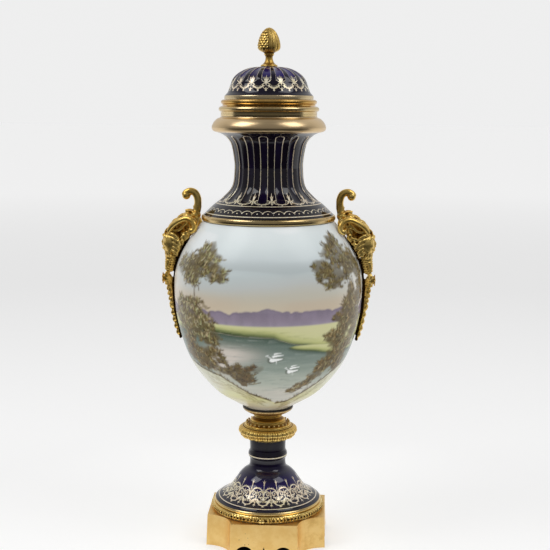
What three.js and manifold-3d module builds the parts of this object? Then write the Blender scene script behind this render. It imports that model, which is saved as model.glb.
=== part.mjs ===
// Covered mantel urn: porcelain body, neck, lid and foot with gilt bronze mounts, on a bronze plinth.
// Millimetres, +Z up, origin on the ground under the middle of the plinth, front towards -Y.
import * as THREE from 'three';
import { mergeVertices } from 'three/addons/utils/BufferGeometryUtils.js';
import Module from 'manifold-3d';

const wasm = await Module();
wasm.setup();

// ---- Driving dimensions ------------------------------------------------------------------
const seat = 0.3; // clearance wherever one piece sits on another

const plinthHeight = 33.5;
const plinthHalf = 62;
const plinthBatter = 1.2; // the foot of each side stands this much further out than its top
const plinthWall = 3;
const cornerScoop = 27;
const archRadius = 9.7;
const archOffset = 20.2;
const archCentreHeight = 0.3;
const apronDrop = 2.6; // height of the apron's hanging tips
const apronPeak = 10;

const footRingTop = 40.8;
const footTop = 109;
const stemTop = 136.9;
const bodyBase = stemTop + seat;
const bodyTop = 345.5;
const ringTop = 352.3;
const neckTop = 453.4;
const collarTop = 464.3;
const lidRingTop = 470.9;
const lidBase = lidRingTop + seat;
const lidTop = 504.6;
const finialTop = 544.8;

const porcelainWall = 5;
const lidWall = 4;
const mouthRadius = 44;
const spigotRadius = 43.2;

const fluteCount = 16;
const neckFlutePhase = -4; // degrees from the front, positive towards +X
const lidFlutePhase = -0.8;
const neckFluteDepth = 1.7;
const lidFluteDepth = 1.1;

const leafCount = 18; // leaves round the knop of the stem mount
const laurelCount = 24; // bundles round the foot ring
const budLeaves = 6;

// ---- Materials ---------------------------------------------------------------------------
function finish(color, roughness, metalness) {
  return new THREE.MeshStandardMaterial({ color, roughness, metalness });
}

const cobalt = () => finish(0x0d0b2b, 0.08, 0);
const painted = () => finish(0xc9cfc6, 0.12, 0);
const giltBronze = () => finish(0xb98b3c, 0.28, 1);
const brass = () => finish(0xd9ab55, 0.34, 1);

// ---- Geometry helpers --------------------------------------------------------------------
const point = (r, z) => new THREE.Vector2(r, z);
const points = (...pairs) => pairs.map(([r, z]) => point(r, z));
const smooth = (keys, steps) => new THREE.SplineCurve(keys).getPoints(steps);
const space = (x, y, z) => new THREE.Vector3(x, y, z);

// Moves every vertex of a geometry by a rule.
function reshape(geometry, rule) {
  const position = geometry.getAttribute('position');
  const vertex = new THREE.Vector3();
  for (let i = 0; i < position.count; i += 1) {
    vertex.fromBufferAttribute(position, i);
    rule(vertex);
    position.setXYZ(i, vertex.x, vertex.y, vertex.z);
  }
  return geometry;
}

// Merges the shared vertices, drops empty triangles and turns the faces outwards.
function closedMesh(geometry) {
  const bare = new THREE.BufferGeometry();
  bare.setAttribute('position', geometry.getAttribute('position').clone());
  bare.setIndex(geometry.index);
  const merged = mergeVertices(bare, 1e-3);
  const place = merged.getAttribute('position');
  const index = merged.index.array;
  const corner = [new THREE.Vector3(), new THREE.Vector3(), new THREE.Vector3()];
  const triangles = [];
  let volume = 0;
  for (let i = 0; i < index.length; i += 3) {
    const [a, b, c] = [index[i], index[i + 1], index[i + 2]];
    if (a !== b && b !== c && c !== a) {
      corner.forEach((v, k) => v.fromBufferAttribute(place, index[i + k]));
      volume += corner[0].dot(corner[1].cross(corner[2]));
      triangles.push([a, b, c]);
    }
  }
  const facing = volume > 0 ? triangles : triangles.map(([a, b, c]) => [a, c, b]);
  merged.setIndex(facing.flat());
  return merged;
}

function toSolid(geometry) {
  const mesh = closedMesh(geometry);
  return new wasm.Manifold(new wasm.Mesh({
    numProp: 3,
    vertProperties: Float32Array.from(mesh.getAttribute('position').array),
    triVerts: Uint32Array.from(mesh.index.array),
  }));
}

function toGeometry(solid) {
  const mesh = solid.getMesh();
  const geometry = new THREE.BufferGeometry();
  geometry.setAttribute('position', new THREE.BufferAttribute(Float32Array.from(mesh.vertProperties), 3));
  geometry.setIndex(Array.from(mesh.triVerts));
  return geometry;
}

const joined = (solids) => solids.reduce((whole, next) => whole.add(next));

// Turns a profile of (radius, height) points about the Z axis. The first column faces the given
// angle, in degrees from the front.
function turned(profile, sides, firstAngle = 0) {
  const lathe = new THREE.LatheGeometry(profile, sides);
  lathe.rotateX(Math.PI / 2);
  lathe.rotateZ(THREE.MathUtils.degToRad(firstAngle));
  return lathe;
}

// A ring turned from a profile that closes on itself.
const turnedRing = (profile, sides) => turned([...profile, profile[0].clone()], sides);

// Angle of a vertex from the front, as a count of steps.
function stepsRound(vertex, phase, count) {
  const angle = THREE.MathUtils.radToDeg(Math.atan2(vertex.x, -vertex.y));
  return ((angle - phase) / 360) * count;
}

// Draws vertices towards or away from the Z axis.
function pushRadially(vertex, distance) {
  const radius = Math.hypot(vertex.x, vertex.y);
  if (radius > 1e-6) {
    vertex.x *= (radius + distance) / radius;
    vertex.y *= (radius + distance) / radius;
  }
}

// Turns a profile with a few columns to each flute, and draws in the column at the middle of each
// flute between two heights.
function fluted(profile, columns, { phase, depth, low, high }) {
  return reshape(turned(profile, fluteCount * columns, phase), (vertex) => {
    const offset = stepsRound(vertex, phase, fluteCount);
    const inFlute = Math.abs(offset - Math.round(offset)) < 0.1;
    if (inFlute && vertex.z > low && vertex.z < high) {
      pushRadially(vertex, -depth);
    }
  });
}

// A closed bar along a curve, its radius given by a rule of the way along it.
function bar(curve, steps, sides, radiusAt) {
  const frames = curve.computeFrenetFrames(steps, false);
  const geometry = new THREE.CylinderGeometry(1, 1, 1, sides, steps);
  return reshape(geometry, (vertex) => {
    const along = 0.5 - vertex.y;
    const step = Math.round(along * steps);
    const radius = radiusAt(along);
    const across = frames.normals[step].clone().multiplyScalar(vertex.x * radius);
    const sideways = frames.binormals[step].clone().multiplyScalar(vertex.z * radius);
    vertex.copy(curve.getPointAt(along)).add(across).add(sideways);
  });
}

// A ball stretched to its own half sizes and set at a place.
function stretched(ball, place, sizes) {
  ball.scale(sizes.x, sizes.y, sizes.z);
  ball.translate(place.x, place.y, place.z);
  return ball;
}

const lump = (place, sizes) => stretched(new THREE.IcosahedronGeometry(1, 0), place, sizes);
const rounded = (place, sizes) => stretched(new THREE.SphereGeometry(1, 7, 5), place, sizes);

// ---- Plinth ------------------------------------------------------------------------------
// Square plan with a quarter circle scooped out of each corner.
function scoopedSquare(half, scoop, centre) {
  const reach = half - Math.sqrt(scoop * scoop - (centre - half) ** 2) + (centre - half);
  const start = Math.asin((centre - half) / scoop);
  const plan = new THREE.Shape();
  plan.moveTo(reach, -half);
  plan.absarc(centre, -centre, scoop, Math.PI - start, Math.PI / 2 + start, true);
  plan.lineTo(half, reach);
  plan.absarc(centre, centre, scoop, -Math.PI / 2 - start, -Math.PI + start, true);
  plan.lineTo(-reach, half);
  plan.absarc(-centre, centre, scoop, -start, -Math.PI / 2 + start, true);
  plan.lineTo(-half, -reach);
  plan.absarc(-centre, -centre, scoop, Math.PI / 2 - start, start, true);
  return plan;
}

// Opening under one side: two arches with a small pointed one between them.
function apronOpening() {
  const tipAngle = Math.asin((apronDrop - archCentreHeight) / archRadius);
  const below = -1;
  const opening = new THREE.Shape();
  opening.moveTo(-archOffset - archRadius, below);
  opening.lineTo(-archOffset - archRadius, archCentreHeight);
  opening.absarc(-archOffset, archCentreHeight, archRadius, Math.PI, tipAngle, true);
  opening.lineTo(-archRadius / 2, apronDrop);
  opening.quadraticCurveTo(-1.4, apronDrop + 1.5, 0, apronPeak);
  opening.quadraticCurveTo(1.4, apronDrop + 1.5, archRadius / 2, apronDrop);
  opening.lineTo(archOffset - archRadius * Math.cos(tipAngle), apronDrop);
  opening.absarc(archOffset, archCentreHeight, archRadius, Math.PI - tipAngle, 0, true);
  opening.lineTo(archOffset + archRadius, below);
  return opening;
}

function makePlinth() {
  const batter = (vertex) => {
    const spread = 1 + (plinthBatter * (1 - vertex.z / plinthHeight)) / plinthHalf;
    vertex.x *= spread;
    vertex.y *= spread;
  };
  const outside = new THREE.ExtrudeGeometry(scoopedSquare(plinthHalf, cornerScoop, plinthHalf), {
    depth: plinthHeight, bevelEnabled: false, curveSegments: 3,
  });
  const inner = scoopedSquare(plinthHalf - plinthWall, cornerScoop + plinthWall, plinthHalf);
  const inside = new THREE.ExtrudeGeometry(inner, {
    depth: plinthHeight - plinthWall + 1, bevelEnabled: false, curveSegments: 3,
  });
  inside.translate(0, 0, -1);
  let shell = toSolid(reshape(outside, batter)).subtract(toSolid(reshape(inside, batter)));
  for (let side = 0; side < 4; side += 1) {
    const cutter = new THREE.ExtrudeGeometry(apronOpening(), {
      depth: plinthHalf, bevelEnabled: false, curveSegments: 3,
    });
    cutter.rotateX(Math.PI / 2);
    cutter.translate(0, -plinthHalf / 2, 0);
    cutter.rotateZ((side * Math.PI) / 2);
    shell = shell.subtract(toSolid(cutter));
  }
  return toGeometry(shell);
}

// ---- Foot and stem -----------------------------------------------------------------------
function makeFootRing() {
  const low = plinthHeight + seat;
  const profile = points([50, low], [59.4, low], [60.9, low + 2.8], [59.6, footRingTop], [50, footRingTop]);
  const bundles = (vertex) => {
    const offset = stepsRound(vertex, 0, laurelCount);
    const between = Math.abs(offset - Math.round(offset)) > 0.4;
    if (between && vertex.z > low + 1 && Math.hypot(vertex.x, vertex.y) > 55) {
      pushRadially(vertex, -0.9);
    }
  };
  return reshape(turnedRing(profile, laurelCount * 2), bundles);
}

function makeFoot() {
  const base = footRingTop + seat;
  const bell = points(
    [53.2, 46.8], [43.8, 52.4], [37.9, 59], [33.2, 65.6], [28.2, 72.2], [22.2, 76.9], [19.4, 81],
  );
  const outside = [
    ...points([0, base], [57, base], [57.6, base + 1.9]),
    ...smooth(bell, 6),
    ...points([20.9, 92.6], [19.3, 97.6], [19.6, footTop], [0, footTop]),
  ];
  const bore = points([0, base - 1], [52, base - 1], [49.5, 44], [30, 56.5], [14, 77], [13, 100], [0, 100]);
  return toGeometry(toSolid(turned(outside, 28)).subtract(toSolid(turned(bore, 16))));
}

function makeStemMount() {
  const low = footTop + seat;
  const profile = points(
    [0, low], [23, low], [29.4, 112.8], [31.6, 118.6], [30.6, 121.8],
    [26.9, 123.6], [24.4, 126.2], [19.4, 128.2], [18.2, 130.4], [13.8, 132.6], [15.2, stemTop], [0, stemTop],
  );
  const leaves = (vertex) => {
    const offset = stepsRound(vertex, 0, leafCount);
    const between = Math.abs(offset - Math.round(offset)) > 0.4;
    if (between && vertex.z > low + 1 && vertex.z < 119) {
      pushRadially(vertex, -0.9);
    }
  };
  return reshape(turned(profile, leafCount * 2), leaves);
}

// ---- Body and its ring -------------------------------------------------------------------
const bodyCurve = points(
  [25, 146.3], [38.4, 154], [54.4, 164.4], [70.8, 181.9], [82.4, 199.6], [91.6, 223],
  [97.5, 249], [99.3, 276], [97.6, 294.5], [91.3, 312], [82, 328], [69, bodyTop],
);

function makeBody() {
  const outside = [
    ...points([0, bodyBase], [14.6, bodyBase], [20.6, 138.8], [26, 142], [27.2, 144.9]),
    ...smooth(bodyCurve, 11),
    point(0, bodyTop),
  ];
  const hollowKeys = bodyCurve.slice(1).map((key) => point(key.x - porcelainWall - 1, key.y + 1));
  const hollow = [
    point(0, hollowKeys[0].y),
    ...smooth([...hollowKeys.slice(0, -1), point(62.5, bodyTop + 1)], 5),
    point(0, bodyTop + 1),
  ];
  return toGeometry(toSolid(turned(outside, 32)).subtract(toSolid(turned(hollow, 16))));
}

function makeShoulderRing() {
  const low = bodyTop + seat;
  return turnedRing(points(
    [62, low], [68.4, low], [70.4, 347.6], [70.4, 350.5], [68.4, ringTop], [62, ringTop],
  ), 32);
}

// ---- Neck, collar and lid ----------------------------------------------------------------
function makeNeck() {
  const low = ringTop + seat;
  const outside = points(
    [0, low], [68, low], [57.6, 362.4], [48, 370], [38.2, 382], [35.8, 400], [38.6, 424], [46.6, 434.2],
    [59.4, 440.6], [57.3, 448.6], [50.5, neckTop], [0, neckTop],
  );
  const bore = points(
    [0, low - 1], [63, low - 1], [46, 364.5], [32, 383], [30.4, 415], [36.5, 433], [mouthRadius, 441],
    [mouthRadius, neckTop + 1], [0, neckTop + 1],
  );
  const shape = fluted(outside, 3, { phase: neckFlutePhase, depth: neckFluteDepth, low: 365, high: 434 });
  return toGeometry(toSolid(shape).subtract(toSolid(turned(bore, 16))));
}

function makeCollar() {
  const low = neckTop + seat;
  return turnedRing(points(
    [mouthRadius, low], [50, low], [50, 459], [51.7, 459.6], [52.2, 461.5], [51.5, 463.4], [49, collarTop],
    [mouthRadius, collarTop],
  ), 28);
}

function makeLidRing() {
  const low = collarTop + seat;
  const bore = spigotRadius - 2.6;
  return turnedRing(points(
    [bore, low - 5.6], [spigotRadius, low - 5.6], [spigotRadius, low], [48, low], [48, 466.4], [49.9, 468.7],
    [48, lidRingTop], [bore, lidRingTop],
  ), 28);
}

function makeLid() {
  const outside = points(
    [0, lidBase], [46.2, lidBase], [46.2, 474.8], [42.6, 479], [40, 486], [38, 491.3], [34, 496.4],
    [27, 500.9], [19, 503.6], [9.4, lidTop], [0, lidTop],
  );
  const bore = points(
    [0, lidBase - 1], [40.5, lidBase - 1], [37.5, 480], [34.6, 490], [25, 497.2], [0, lidTop - lidWall],
  );
  const high = lidTop - 0.1;
  const shape = fluted(outside, 2, { phase: lidFlutePhase, depth: lidFluteDepth, low: 489, high });
  return toGeometry(toSolid(shape).subtract(toSolid(turned(bore, 16))));
}

function makeFinial() {
  const low = lidTop + seat;
  const profile = [
    ...points([0, low], [8.4, low], [8.6, 506.2], [4.6, 509.8], [3.7, 514.2], [5, 517.4], [9.4, 520]),
    ...smooth(points([11.6, 523.2], [11.2, 528.6], [9.6, 535.4], [6.2, 541.4]), 3),
    point(0, finialTop),
  ];
  const folds = (vertex) => {
    const offset = stepsRound(vertex, 0, budLeaves);
    const between = Math.abs(offset - Math.round(offset)) > 0.4;
    if (between && vertex.z > 519 && vertex.z < 543) {
      pushRadially(vertex, -0.8);
    }
  };
  return reshape(turned(profile, budLeaves * 2), folds);
}

// ---- Handles -----------------------------------------------------------------------------
// A handle is drawn on the +X side: x outwards, y along the body's side, z up.
function scrollStem() {
  const line = new THREE.CatmullRomCurve3([
    space(78.5, 0, 343), space(75.6, 0, 356), space(74.4, 0, 366), space(77.4, 0, 374),
    space(83, 0, 375.8), space(86.6, 0, 373.2),
  ]);
  return bar(line, 8, 6, (along) => 3.2 + 0.5 * along);
}

// The bracket's side, with three leaf tips stepping down its outer edge.
function bracket() {
  const side = new THREE.Shape(points(
    [71, 346.4], [75, 345], [81.4, 334.4], [91, 321], [99, 310], [107, 318],
    [108, 337.4], [103.6, 337.2], [104.6, 342], [100.4, 345.4], [95, 343.8], [95.6, 349.6],
    [89.4, 351.4], [88.6, 356.6], [79, 356.6], [71, 351.6],
  ));
  const plate = new THREE.ExtrudeGeometry(side, {
    depth: 10, bevelThickness: 2.4, bevelSize: 1.2, bevelOffset: -1.2, bevelSegments: 1,
  });
  plate.rotateX(Math.PI / 2);
  plate.translate(0, 5, 0);
  return plate;
}

// Side scrolls that sweep back from the brow and curl in against the shoulder of the body.
function sideScroll(hand) {
  const line = new THREE.CatmullRomCurve3([
    space(104, 10 * hand, 333), space(96, 13 * hand, 342.6), space(85, 15.5 * hand, 348.6),
    space(77.8, 18.4 * hand, 346), space(76, 21.4 * hand, 339.6), space(79, 23 * hand, 334.4),
  ]);
  return bar(line, 6, 5, (along) => 3.4 - 1.1 * along);
}

// Bearded mask that looks outwards: head, nose, crown and chin, with brows, side hair and beard.
function mask() {
  const parts = [
    rounded(space(101.5, 0, 322), space(10.8, 14, 15)),
    lump(space(110.8, 0, 321.6), space(3.4, 2.8, 5)),
    lump(space(105.5, 0, 335), space(5.4, 9, 3.8)),
    lump(space(107.2, 0, 311.6), space(4.6, 4.6, 6)),
  ];
  for (const hand of [-1, 1]) {
    parts.push(
      lump(space(108.4, 5 * hand, 329), space(3.6, 5, 2.4)),
      lump(space(92.8, 10 * hand, 322.6), space(5.4, 4.6, 5.2)),
      lump(space(104.6, 6.4 * hand, 312.6), space(4.6, 4.4, 7.4)),
    );
  }
  return parts;
}

// Straight line between the nearest two of a list of (height, value) pairs, highest first.
function between(keys, height) {
  const next = Math.max(1, keys.findIndex(([level]) => level <= height));
  const [upper, lower] = [keys[next - 1], keys[next]];
  const share = (upper[0] - height) / (upper[0] - lower[0]);
  return upper[1] + (lower[1] - upper[1]) * share;
}

// Wrapped stem and bell flowers, turned straight and then bent to hang clear of the body's side.
function pendant() {
  const bells = turned(points(
    [0, 217.4], [1.6, 223], [2.7, 229.4], [1.3, 234], [2.4, 237.6], [1.3, 241], [2.5, 244.4], [1.3, 248.6],
    [2.6, 252.6], [1.6, 257], [3.8, 277], [3.2, 291], [4.8, 300], [4.6, 311], [0, 312],
  ), 7);
  const hang = [
    [312, 103.6], [300, 104.4], [290, 105.8], [280, 105.6], [265, 103.5], [253, 102.3], [241, 100.2],
    [229, 97.6], [217, 93.2],
  ];
  return reshape(bells, (vertex) => {
    vertex.x += between(hang, vertex.z);
  });
}

function makeHandle() {
  const parts = [
    scrollStem(),
    lump(space(87.4, 0, 371.8), space(4, 4.6, 4)),
    bracket(),
    sideScroll(1),
    sideScroll(-1),
    ...mask(),
    pendant(),
    lump(space(108.8, 0, 282), space(4.6, 4.8, 6)),
  ];
  return toGeometry(joined(parts.map(toSolid)));
}

// ---- Assembly ----------------------------------------------------------------------------
const urn = new THREE.Group();

function place(name, geometry, material, turn = 0) {
  const mesh = new THREE.Mesh(closedMesh(geometry), material);
  mesh.name = name;
  mesh.rotation.z = turn;
  urn.add(mesh);
}

place('plinth', makePlinth(), brass());
place('foot_ring', makeFootRing(), giltBronze());
place('foot', makeFoot(), cobalt());
place('stem_mount', makeStemMount(), giltBronze());
place('body', makeBody(), painted());
place('shoulder_ring', makeShoulderRing(), giltBronze());
place('neck', makeNeck(), cobalt());
place('collar', makeCollar(), giltBronze());
place('lid_ring', makeLidRing(), giltBronze());
place('lid', makeLid(), cobalt());
place('finial', makeFinial(), giltBronze());
place('handle_right', makeHandle(), giltBronze());
place('handle_left', makeHandle(), giltBronze(), Math.PI);

export default urn;
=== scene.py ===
# Covered mantel urn: porcelain with gilding and a painted landscape, on gilt bronze mounts.
import math
import random

import bmesh
import bpy
import numpy as np
from mathutils import Matrix, Vector


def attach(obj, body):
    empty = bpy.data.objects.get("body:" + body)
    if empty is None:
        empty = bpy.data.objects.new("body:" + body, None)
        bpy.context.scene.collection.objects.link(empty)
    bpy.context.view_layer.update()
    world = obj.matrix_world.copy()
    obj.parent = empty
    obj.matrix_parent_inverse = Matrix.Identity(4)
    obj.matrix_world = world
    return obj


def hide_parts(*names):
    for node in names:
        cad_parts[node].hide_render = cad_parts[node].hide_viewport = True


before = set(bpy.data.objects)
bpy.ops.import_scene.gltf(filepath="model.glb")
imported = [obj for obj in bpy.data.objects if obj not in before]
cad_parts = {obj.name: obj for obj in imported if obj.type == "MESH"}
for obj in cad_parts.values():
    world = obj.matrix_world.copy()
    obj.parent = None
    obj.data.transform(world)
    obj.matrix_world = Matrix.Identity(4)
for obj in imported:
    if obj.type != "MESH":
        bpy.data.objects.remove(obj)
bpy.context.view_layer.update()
scene = bpy.context.scene
scene.view_settings.view_transform = "Standard"
full = 2 * math.pi


# shapes are worked out in millimetres and brought to metres as each piece is set down

def smoothCurve(keys, count):
    keys = np.array(keys, float)
    ends = np.vstack([2 * keys[0] - keys[1], keys, 2 * keys[-1] - keys[-2]])
    run = []
    for a, b, c, d in zip(ends, ends[1:], ends[2:], ends[3:]):
        for t in np.linspace(0, 1, count, endpoint=False):
            square, cube = 2 * a - 5 * b + 4 * c - d, 3 * b - a - 3 * c + d
            run.append(0.5 * (2 * b + (c - a) * t + square * t**2 + cube * t**3))
    return [tuple(p) for p in run] + [tuple(keys[-1])]


# rounds the corners of a profile, each by no more than a third of its shorter side
def softened(keys, radius, steps=4, closed=True):
    keys = [np.array(k, float) for k in keys]
    run = []
    for i, here in enumerate(keys):
        if not closed and i in (0, len(keys) - 1):
            run.append(tuple(here))
            continue
        back, ahead = keys[i - 1] - here, keys[(i + 1) % len(keys)] - here
        cut = min(radius, np.linalg.norm(back) / 3, np.linalg.norm(ahead) / 3)
        start = here + back / np.linalg.norm(back) * cut
        end = here + ahead / np.linalg.norm(ahead) * cut
        for t in np.linspace(0, 1, steps):
            run.append(tuple((1 - t) ** 2 * start + 2 * t * (1 - t) * here + t**2 * end))
    return run


# the way along a line up to each of its points
def lengths(line):
    return np.r_[0, np.cumsum(np.hypot(*np.diff(line, axis=0).T))]


# adds points so that no step is longer than the given one
def evenly(keys, step):
    run = [tuple(keys[0])]
    for a, b in zip(keys, keys[1:]):
        parts = max(1, math.ceil(math.dist(a, b) / step))
        run += [tuple(np.array(a) + (np.array(b) - np.array(a)) * k / parts) for k in range(1, parts + 1)]
    return run


def vertsOf(geom):
    return [part for part in geom if isinstance(part, bmesh.types.BMVert)]


# turns a profile about the axis: one wedge is spun, then doubled again and again until it goes all the way
def lathe(profile, steps, closed=True, start=0.0, angle=full, doublings=4):
    bm = bmesh.new()
    verts = [bm.verts.new((r * math.sin(start), -r * math.cos(start), z)) for r, z in profile]
    edges = [bm.edges.new(pair) for pair in zip(verts, verts[1:])]
    if closed:
        edges.append(bm.edges.new((verts[-1], verts[0])))
    wedge = angle / 2**doublings
    bmesh.ops.spin(
        bm, geom=verts + edges, cent=(0, 0, 0), axis=(0, 0, 1), angle=wedge,
        steps=round(steps / 2**doublings),
    )
    for k in range(doublings):
        copy = bmesh.ops.duplicate(bm, geom=bm.verts[:] + bm.edges[:] + bm.faces[:])["geom"]
        bmesh.ops.rotate(
            bm, verts=vertsOf(copy), cent=(0, 0, 0), matrix=Matrix.Rotation(wedge * 2**k, 3, "Z")
        )
    return bm


# adds a ready shape to a piece, placed by a matrix
def joined(bm, shape, matrix):
    copy = shape.copy()
    copy.transform(matrix)
    bm.from_mesh(copy)
    bpy.data.meshes.remove(copy)


# adds a shape that was made in a mesh of its own
def addShape(bm, shape):
    mesh = bpy.data.meshes.new("shape")
    shape.to_mesh(mesh)
    shape.free()
    joined(bm, mesh, Matrix())
    bpy.data.meshes.remove(mesh)


def ballShape(across, up):
    bm = bmesh.new()
    bmesh.ops.create_uvsphere(bm, u_segments=across, v_segments=up, radius=1.0)
    mesh = bpy.data.meshes.new("ball")
    bm.to_mesh(mesh)
    bm.free()
    return mesh


def meshFrom(bm, name):
    bmesh.ops.remove_doubles(bm, verts=bm.verts, dist=0.002)
    bmesh.ops.recalc_face_normals(bm, faces=bm.faces)
    mesh = bpy.data.meshes.new(name)
    bm.to_mesh(mesh)
    bm.free()
    return mesh


def spots(mesh, key="co"):
    flat = np.empty(len(mesh.vertices) * 3)
    mesh.vertices.foreach_get(key, flat)
    return flat.reshape(-1, 3)


def moveTo(mesh, places):
    mesh.vertices.foreach_set("co", np.ascontiguousarray(places, dtype=np.float32).ravel())
    mesh.update()


def mark(mesh, name, values):
    layer = mesh.attributes.new(name, "FLOAT", "POINT")
    layer.data.foreach_set("value", np.ascontiguousarray(values, dtype=np.float32))


def tint(mesh, name, colours):
    layer = mesh.attributes.new(name, "FLOAT_COLOR", "POINT")
    rgba = np.c_[colours, np.ones(len(colours))]
    layer.data.foreach_set("color", np.ascontiguousarray(rgba, dtype=np.float32).ravel())


# radius, height and angle from the front, positive towards +X
def around(places):
    return np.hypot(places[:, 0], places[:, 1]), places[:, 2], np.arctan2(places[:, 0], -places[:, 1])


def pushed(places, distance):
    radius = np.maximum(np.hypot(places[:, 0], places[:, 1]), 1e-6)
    out = places.copy()
    out[:, :2] *= ((radius + distance) / radius)[:, None]
    return out


def edgesOf(mesh):
    pairs = np.empty(len(mesh.edges) * 2, np.int32)
    mesh.edges.foreach_get("vertices", pairs)
    return pairs.reshape(-1, 2)


def blurred(values, pairs, times):
    many = np.bincount(pairs.ravel(), minlength=len(values)).astype(float)
    many = np.maximum(many, 1)
    out = np.array(values, float)
    for _ in range(times):
        total = np.zeros_like(out)
        for a, b in ((0, 1), (1, 0)):
            if out.ndim == 1:
                total += np.bincount(pairs[:, a], weights=out[pairs[:, b]], minlength=len(out))
            else:
                for k in range(out.shape[1]):
                    total[:, k] += np.bincount(pairs[:, a], weights=out[pairs[:, b], k], minlength=len(out))
        out = 0.5 * out + 0.5 * total / (many if out.ndim == 1 else many[:, None])
    return out


# how deep each point lies below the skin around it, for the painted shade that darkens the hollows of a
# casting
def markHollows(mesh, times, reach):
    places, pairs = spots(mesh), edgesOf(mesh)
    depth = ((blurred(places, pairs, times) - places) * spots(mesh, "normal")).sum(1)
    mark(mesh, "hollow", np.clip(blurred(depth, pairs, 1) / reach, -1, 1))


def setDown(mesh, name, nodes, material, sharp=32):
    piece = bpy.data.objects.new(name, mesh)
    scene.collection.objects.link(piece)
    mesh.transform(Matrix.Scale(0.001, 4))
    mesh.materials.append(material)
    mesh.shade_smooth()
    if sharp:
        mesh.set_sharp_from_angle(angle=math.radians(sharp))
    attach(piece, "root")
    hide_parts(*nodes)
    return piece


# strokes of gilding, as the distance in millimetres from each point to the nearest stroke

def arc(x, y, radius, start, end, count=14):
    turn = np.radians(np.linspace(start, end, count))
    return np.c_[x + radius * np.cos(turn), y + radius * np.sin(turn)]


def curl(x, y, outer, inner, start, end):
    turn = np.radians(np.linspace(start, end, 26))
    reach = np.linspace(outer, inner, 26)
    return np.c_[x + reach * np.cos(turn), y + reach * np.sin(turn)]


def strokeGap(x, y, strokes):
    best = np.full(len(x), 9.0)
    for path, wide, narrow in strokes:
        path = np.array(path, float)
        halves = np.linspace(wide, narrow, len(path))
        for a, b, ha, hb in zip(path, path[1:], halves, halves[1:]):
            step = b - a
            along = np.clip(((x - a[0]) * step[0] + (y - a[1]) * step[1]) / max(step @ step, 1e-9), 0, 1)
            gap = (
                np.hypot(x - a[0] - along * step[0], y - a[1] - along * step[1])
                - (ha + (hb - ha) * along)
            )
            np.minimum(best, gap, out=best)
    return best


# folds an angle into one repeat of a pattern: the distance from the middle of the repeat, in radians
def folded(angle, count, phase):
    steps = (angle - math.radians(phase)) / full * count
    return (steps - np.round(steps)) * full / count


# shader nodes

class Kit:
    def __init__(self, tree):
        self.tree = tree

    # links or sets sockets, by name or by number
    def feed(self, sockets, values):
        for key, value in values.items():
            if hasattr(value, "is_output"):
                self.tree.links.new(value, sockets[key])
            else:
                sockets[key].default_value = value

    def add(self, kind, inputs=None, **settings):
        made = self.tree.nodes.new(kind)
        for key, value in settings.items():
            setattr(made, key, value)
        self.feed(made.inputs, inputs or {})
        return made

    def maths(self, operation, a, b=0.0):
        return self.add("ShaderNodeMath", {0: a, 1: b}, operation=operation).outputs[0]

    def plus(self, a, b):
        return self.maths("ADD", a, b)

    def times(self, a, b):
        return self.maths("MULTIPLY", a, b)

    # a value's distance from a middle, made larger or smaller
    def swing(self, value, reach, middle=0.5):
        return self.times(self.maths("SUBTRACT", value, middle), reach)

    def blend(self, factor, a, b):
        return self.plus(self.times(factor, self.maths("SUBTRACT", b, a)), a)

    # the sockets of a colour mix are its seventh and eighth, and its third output
    def mixed(self, factor, a, b):
        ends = [value if hasattr(value, "is_output") else (*value, 1.0) for value in (a, b)]
        return self.add("ShaderNodeMix", {0: factor, 6: ends[0], 7: ends[1]}, data_type="RGBA").outputs[2]

    def spread(self, value, low, high, to=(0, 1), smooth=True):
        kind = "SMOOTHSTEP" if smooth else "LINEAR"
        inputs = {"Value": value, "From Min": low, "From Max": high, "To Min": to[0], "To Max": to[1]}
        return self.add("ShaderNodeMapRange", inputs, interpolation_type=kind, clamp=True).outputs[0]

    def noise(self, vector, scale, detail=2.0, roughness=0.5):
        inputs = {"Vector": vector, "Scale": scale, "Detail": detail, "Roughness": roughness}
        return self.add("ShaderNodeTexNoise", inputs).outputs["Fac"]

    def colours(self, factor, stops):
        made = self.add("ShaderNodeValToRGB", {"Fac": factor})
        marks = made.color_ramp.elements
        while len(marks) < len(stops):
            marks.new(0.5)
        for element, (place, colour) in zip(marks, stops):
            element.position = place
            element.color = (*colour, 1.0)
        return made.outputs[0]

    def attribute(self, name, output="Fac"):
        return self.add("ShaderNodeAttribute", attribute_name=name).outputs[output]

    def objectPlace(self):
        return self.add("ShaderNodeTexCoord").outputs["Object"]

    def axis(self, vector, name):
        return self.add("ShaderNodeSeparateXYZ", {0: vector}).outputs[name]

    def bump(self, height, distance, strength):
        inputs = {"Height": height, "Distance": distance, "Strength": strength}
        return self.add("ShaderNodeBump", inputs).outputs[0]

    def placed(self, tree, inputs):
        return self.add("ShaderNodeGroup", inputs, node_tree=tree).outputs


scalar, vector3, colour4 = "NodeSocketFloat", "NodeSocketVector", "NodeSocketColor"


# every group reads a place and some values, and puts out what is listed after them
def nodeGroup(name, values, outputs):
    tree = bpy.data.node_groups.new(name, "ShaderNodeTree")
    tree.interface.new_socket("Place", in_out="INPUT", socket_type=vector3)
    for label in values:
        tree.interface.new_socket(label, in_out="INPUT", socket_type=scalar)
    for label in outputs:
        tree.interface.new_socket(
            label, in_out="OUTPUT", socket_type=colour4 if label == "Color" else scalar
        )
    kit = Kit(tree)
    given = kit.add("NodeGroupInput").outputs
    return tree, kit, given, kit.add("NodeGroupOutput").inputs, given["Place"]


def newMaterial(name, fixed):
    material = bpy.data.materials.new(name)
    material.use_nodes = True
    kit = Kit(material.node_tree)
    sockets = material.node_tree.nodes["Principled BSDF"].inputs
    kit.feed(sockets, fixed)
    return material, kit, sockets
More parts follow.
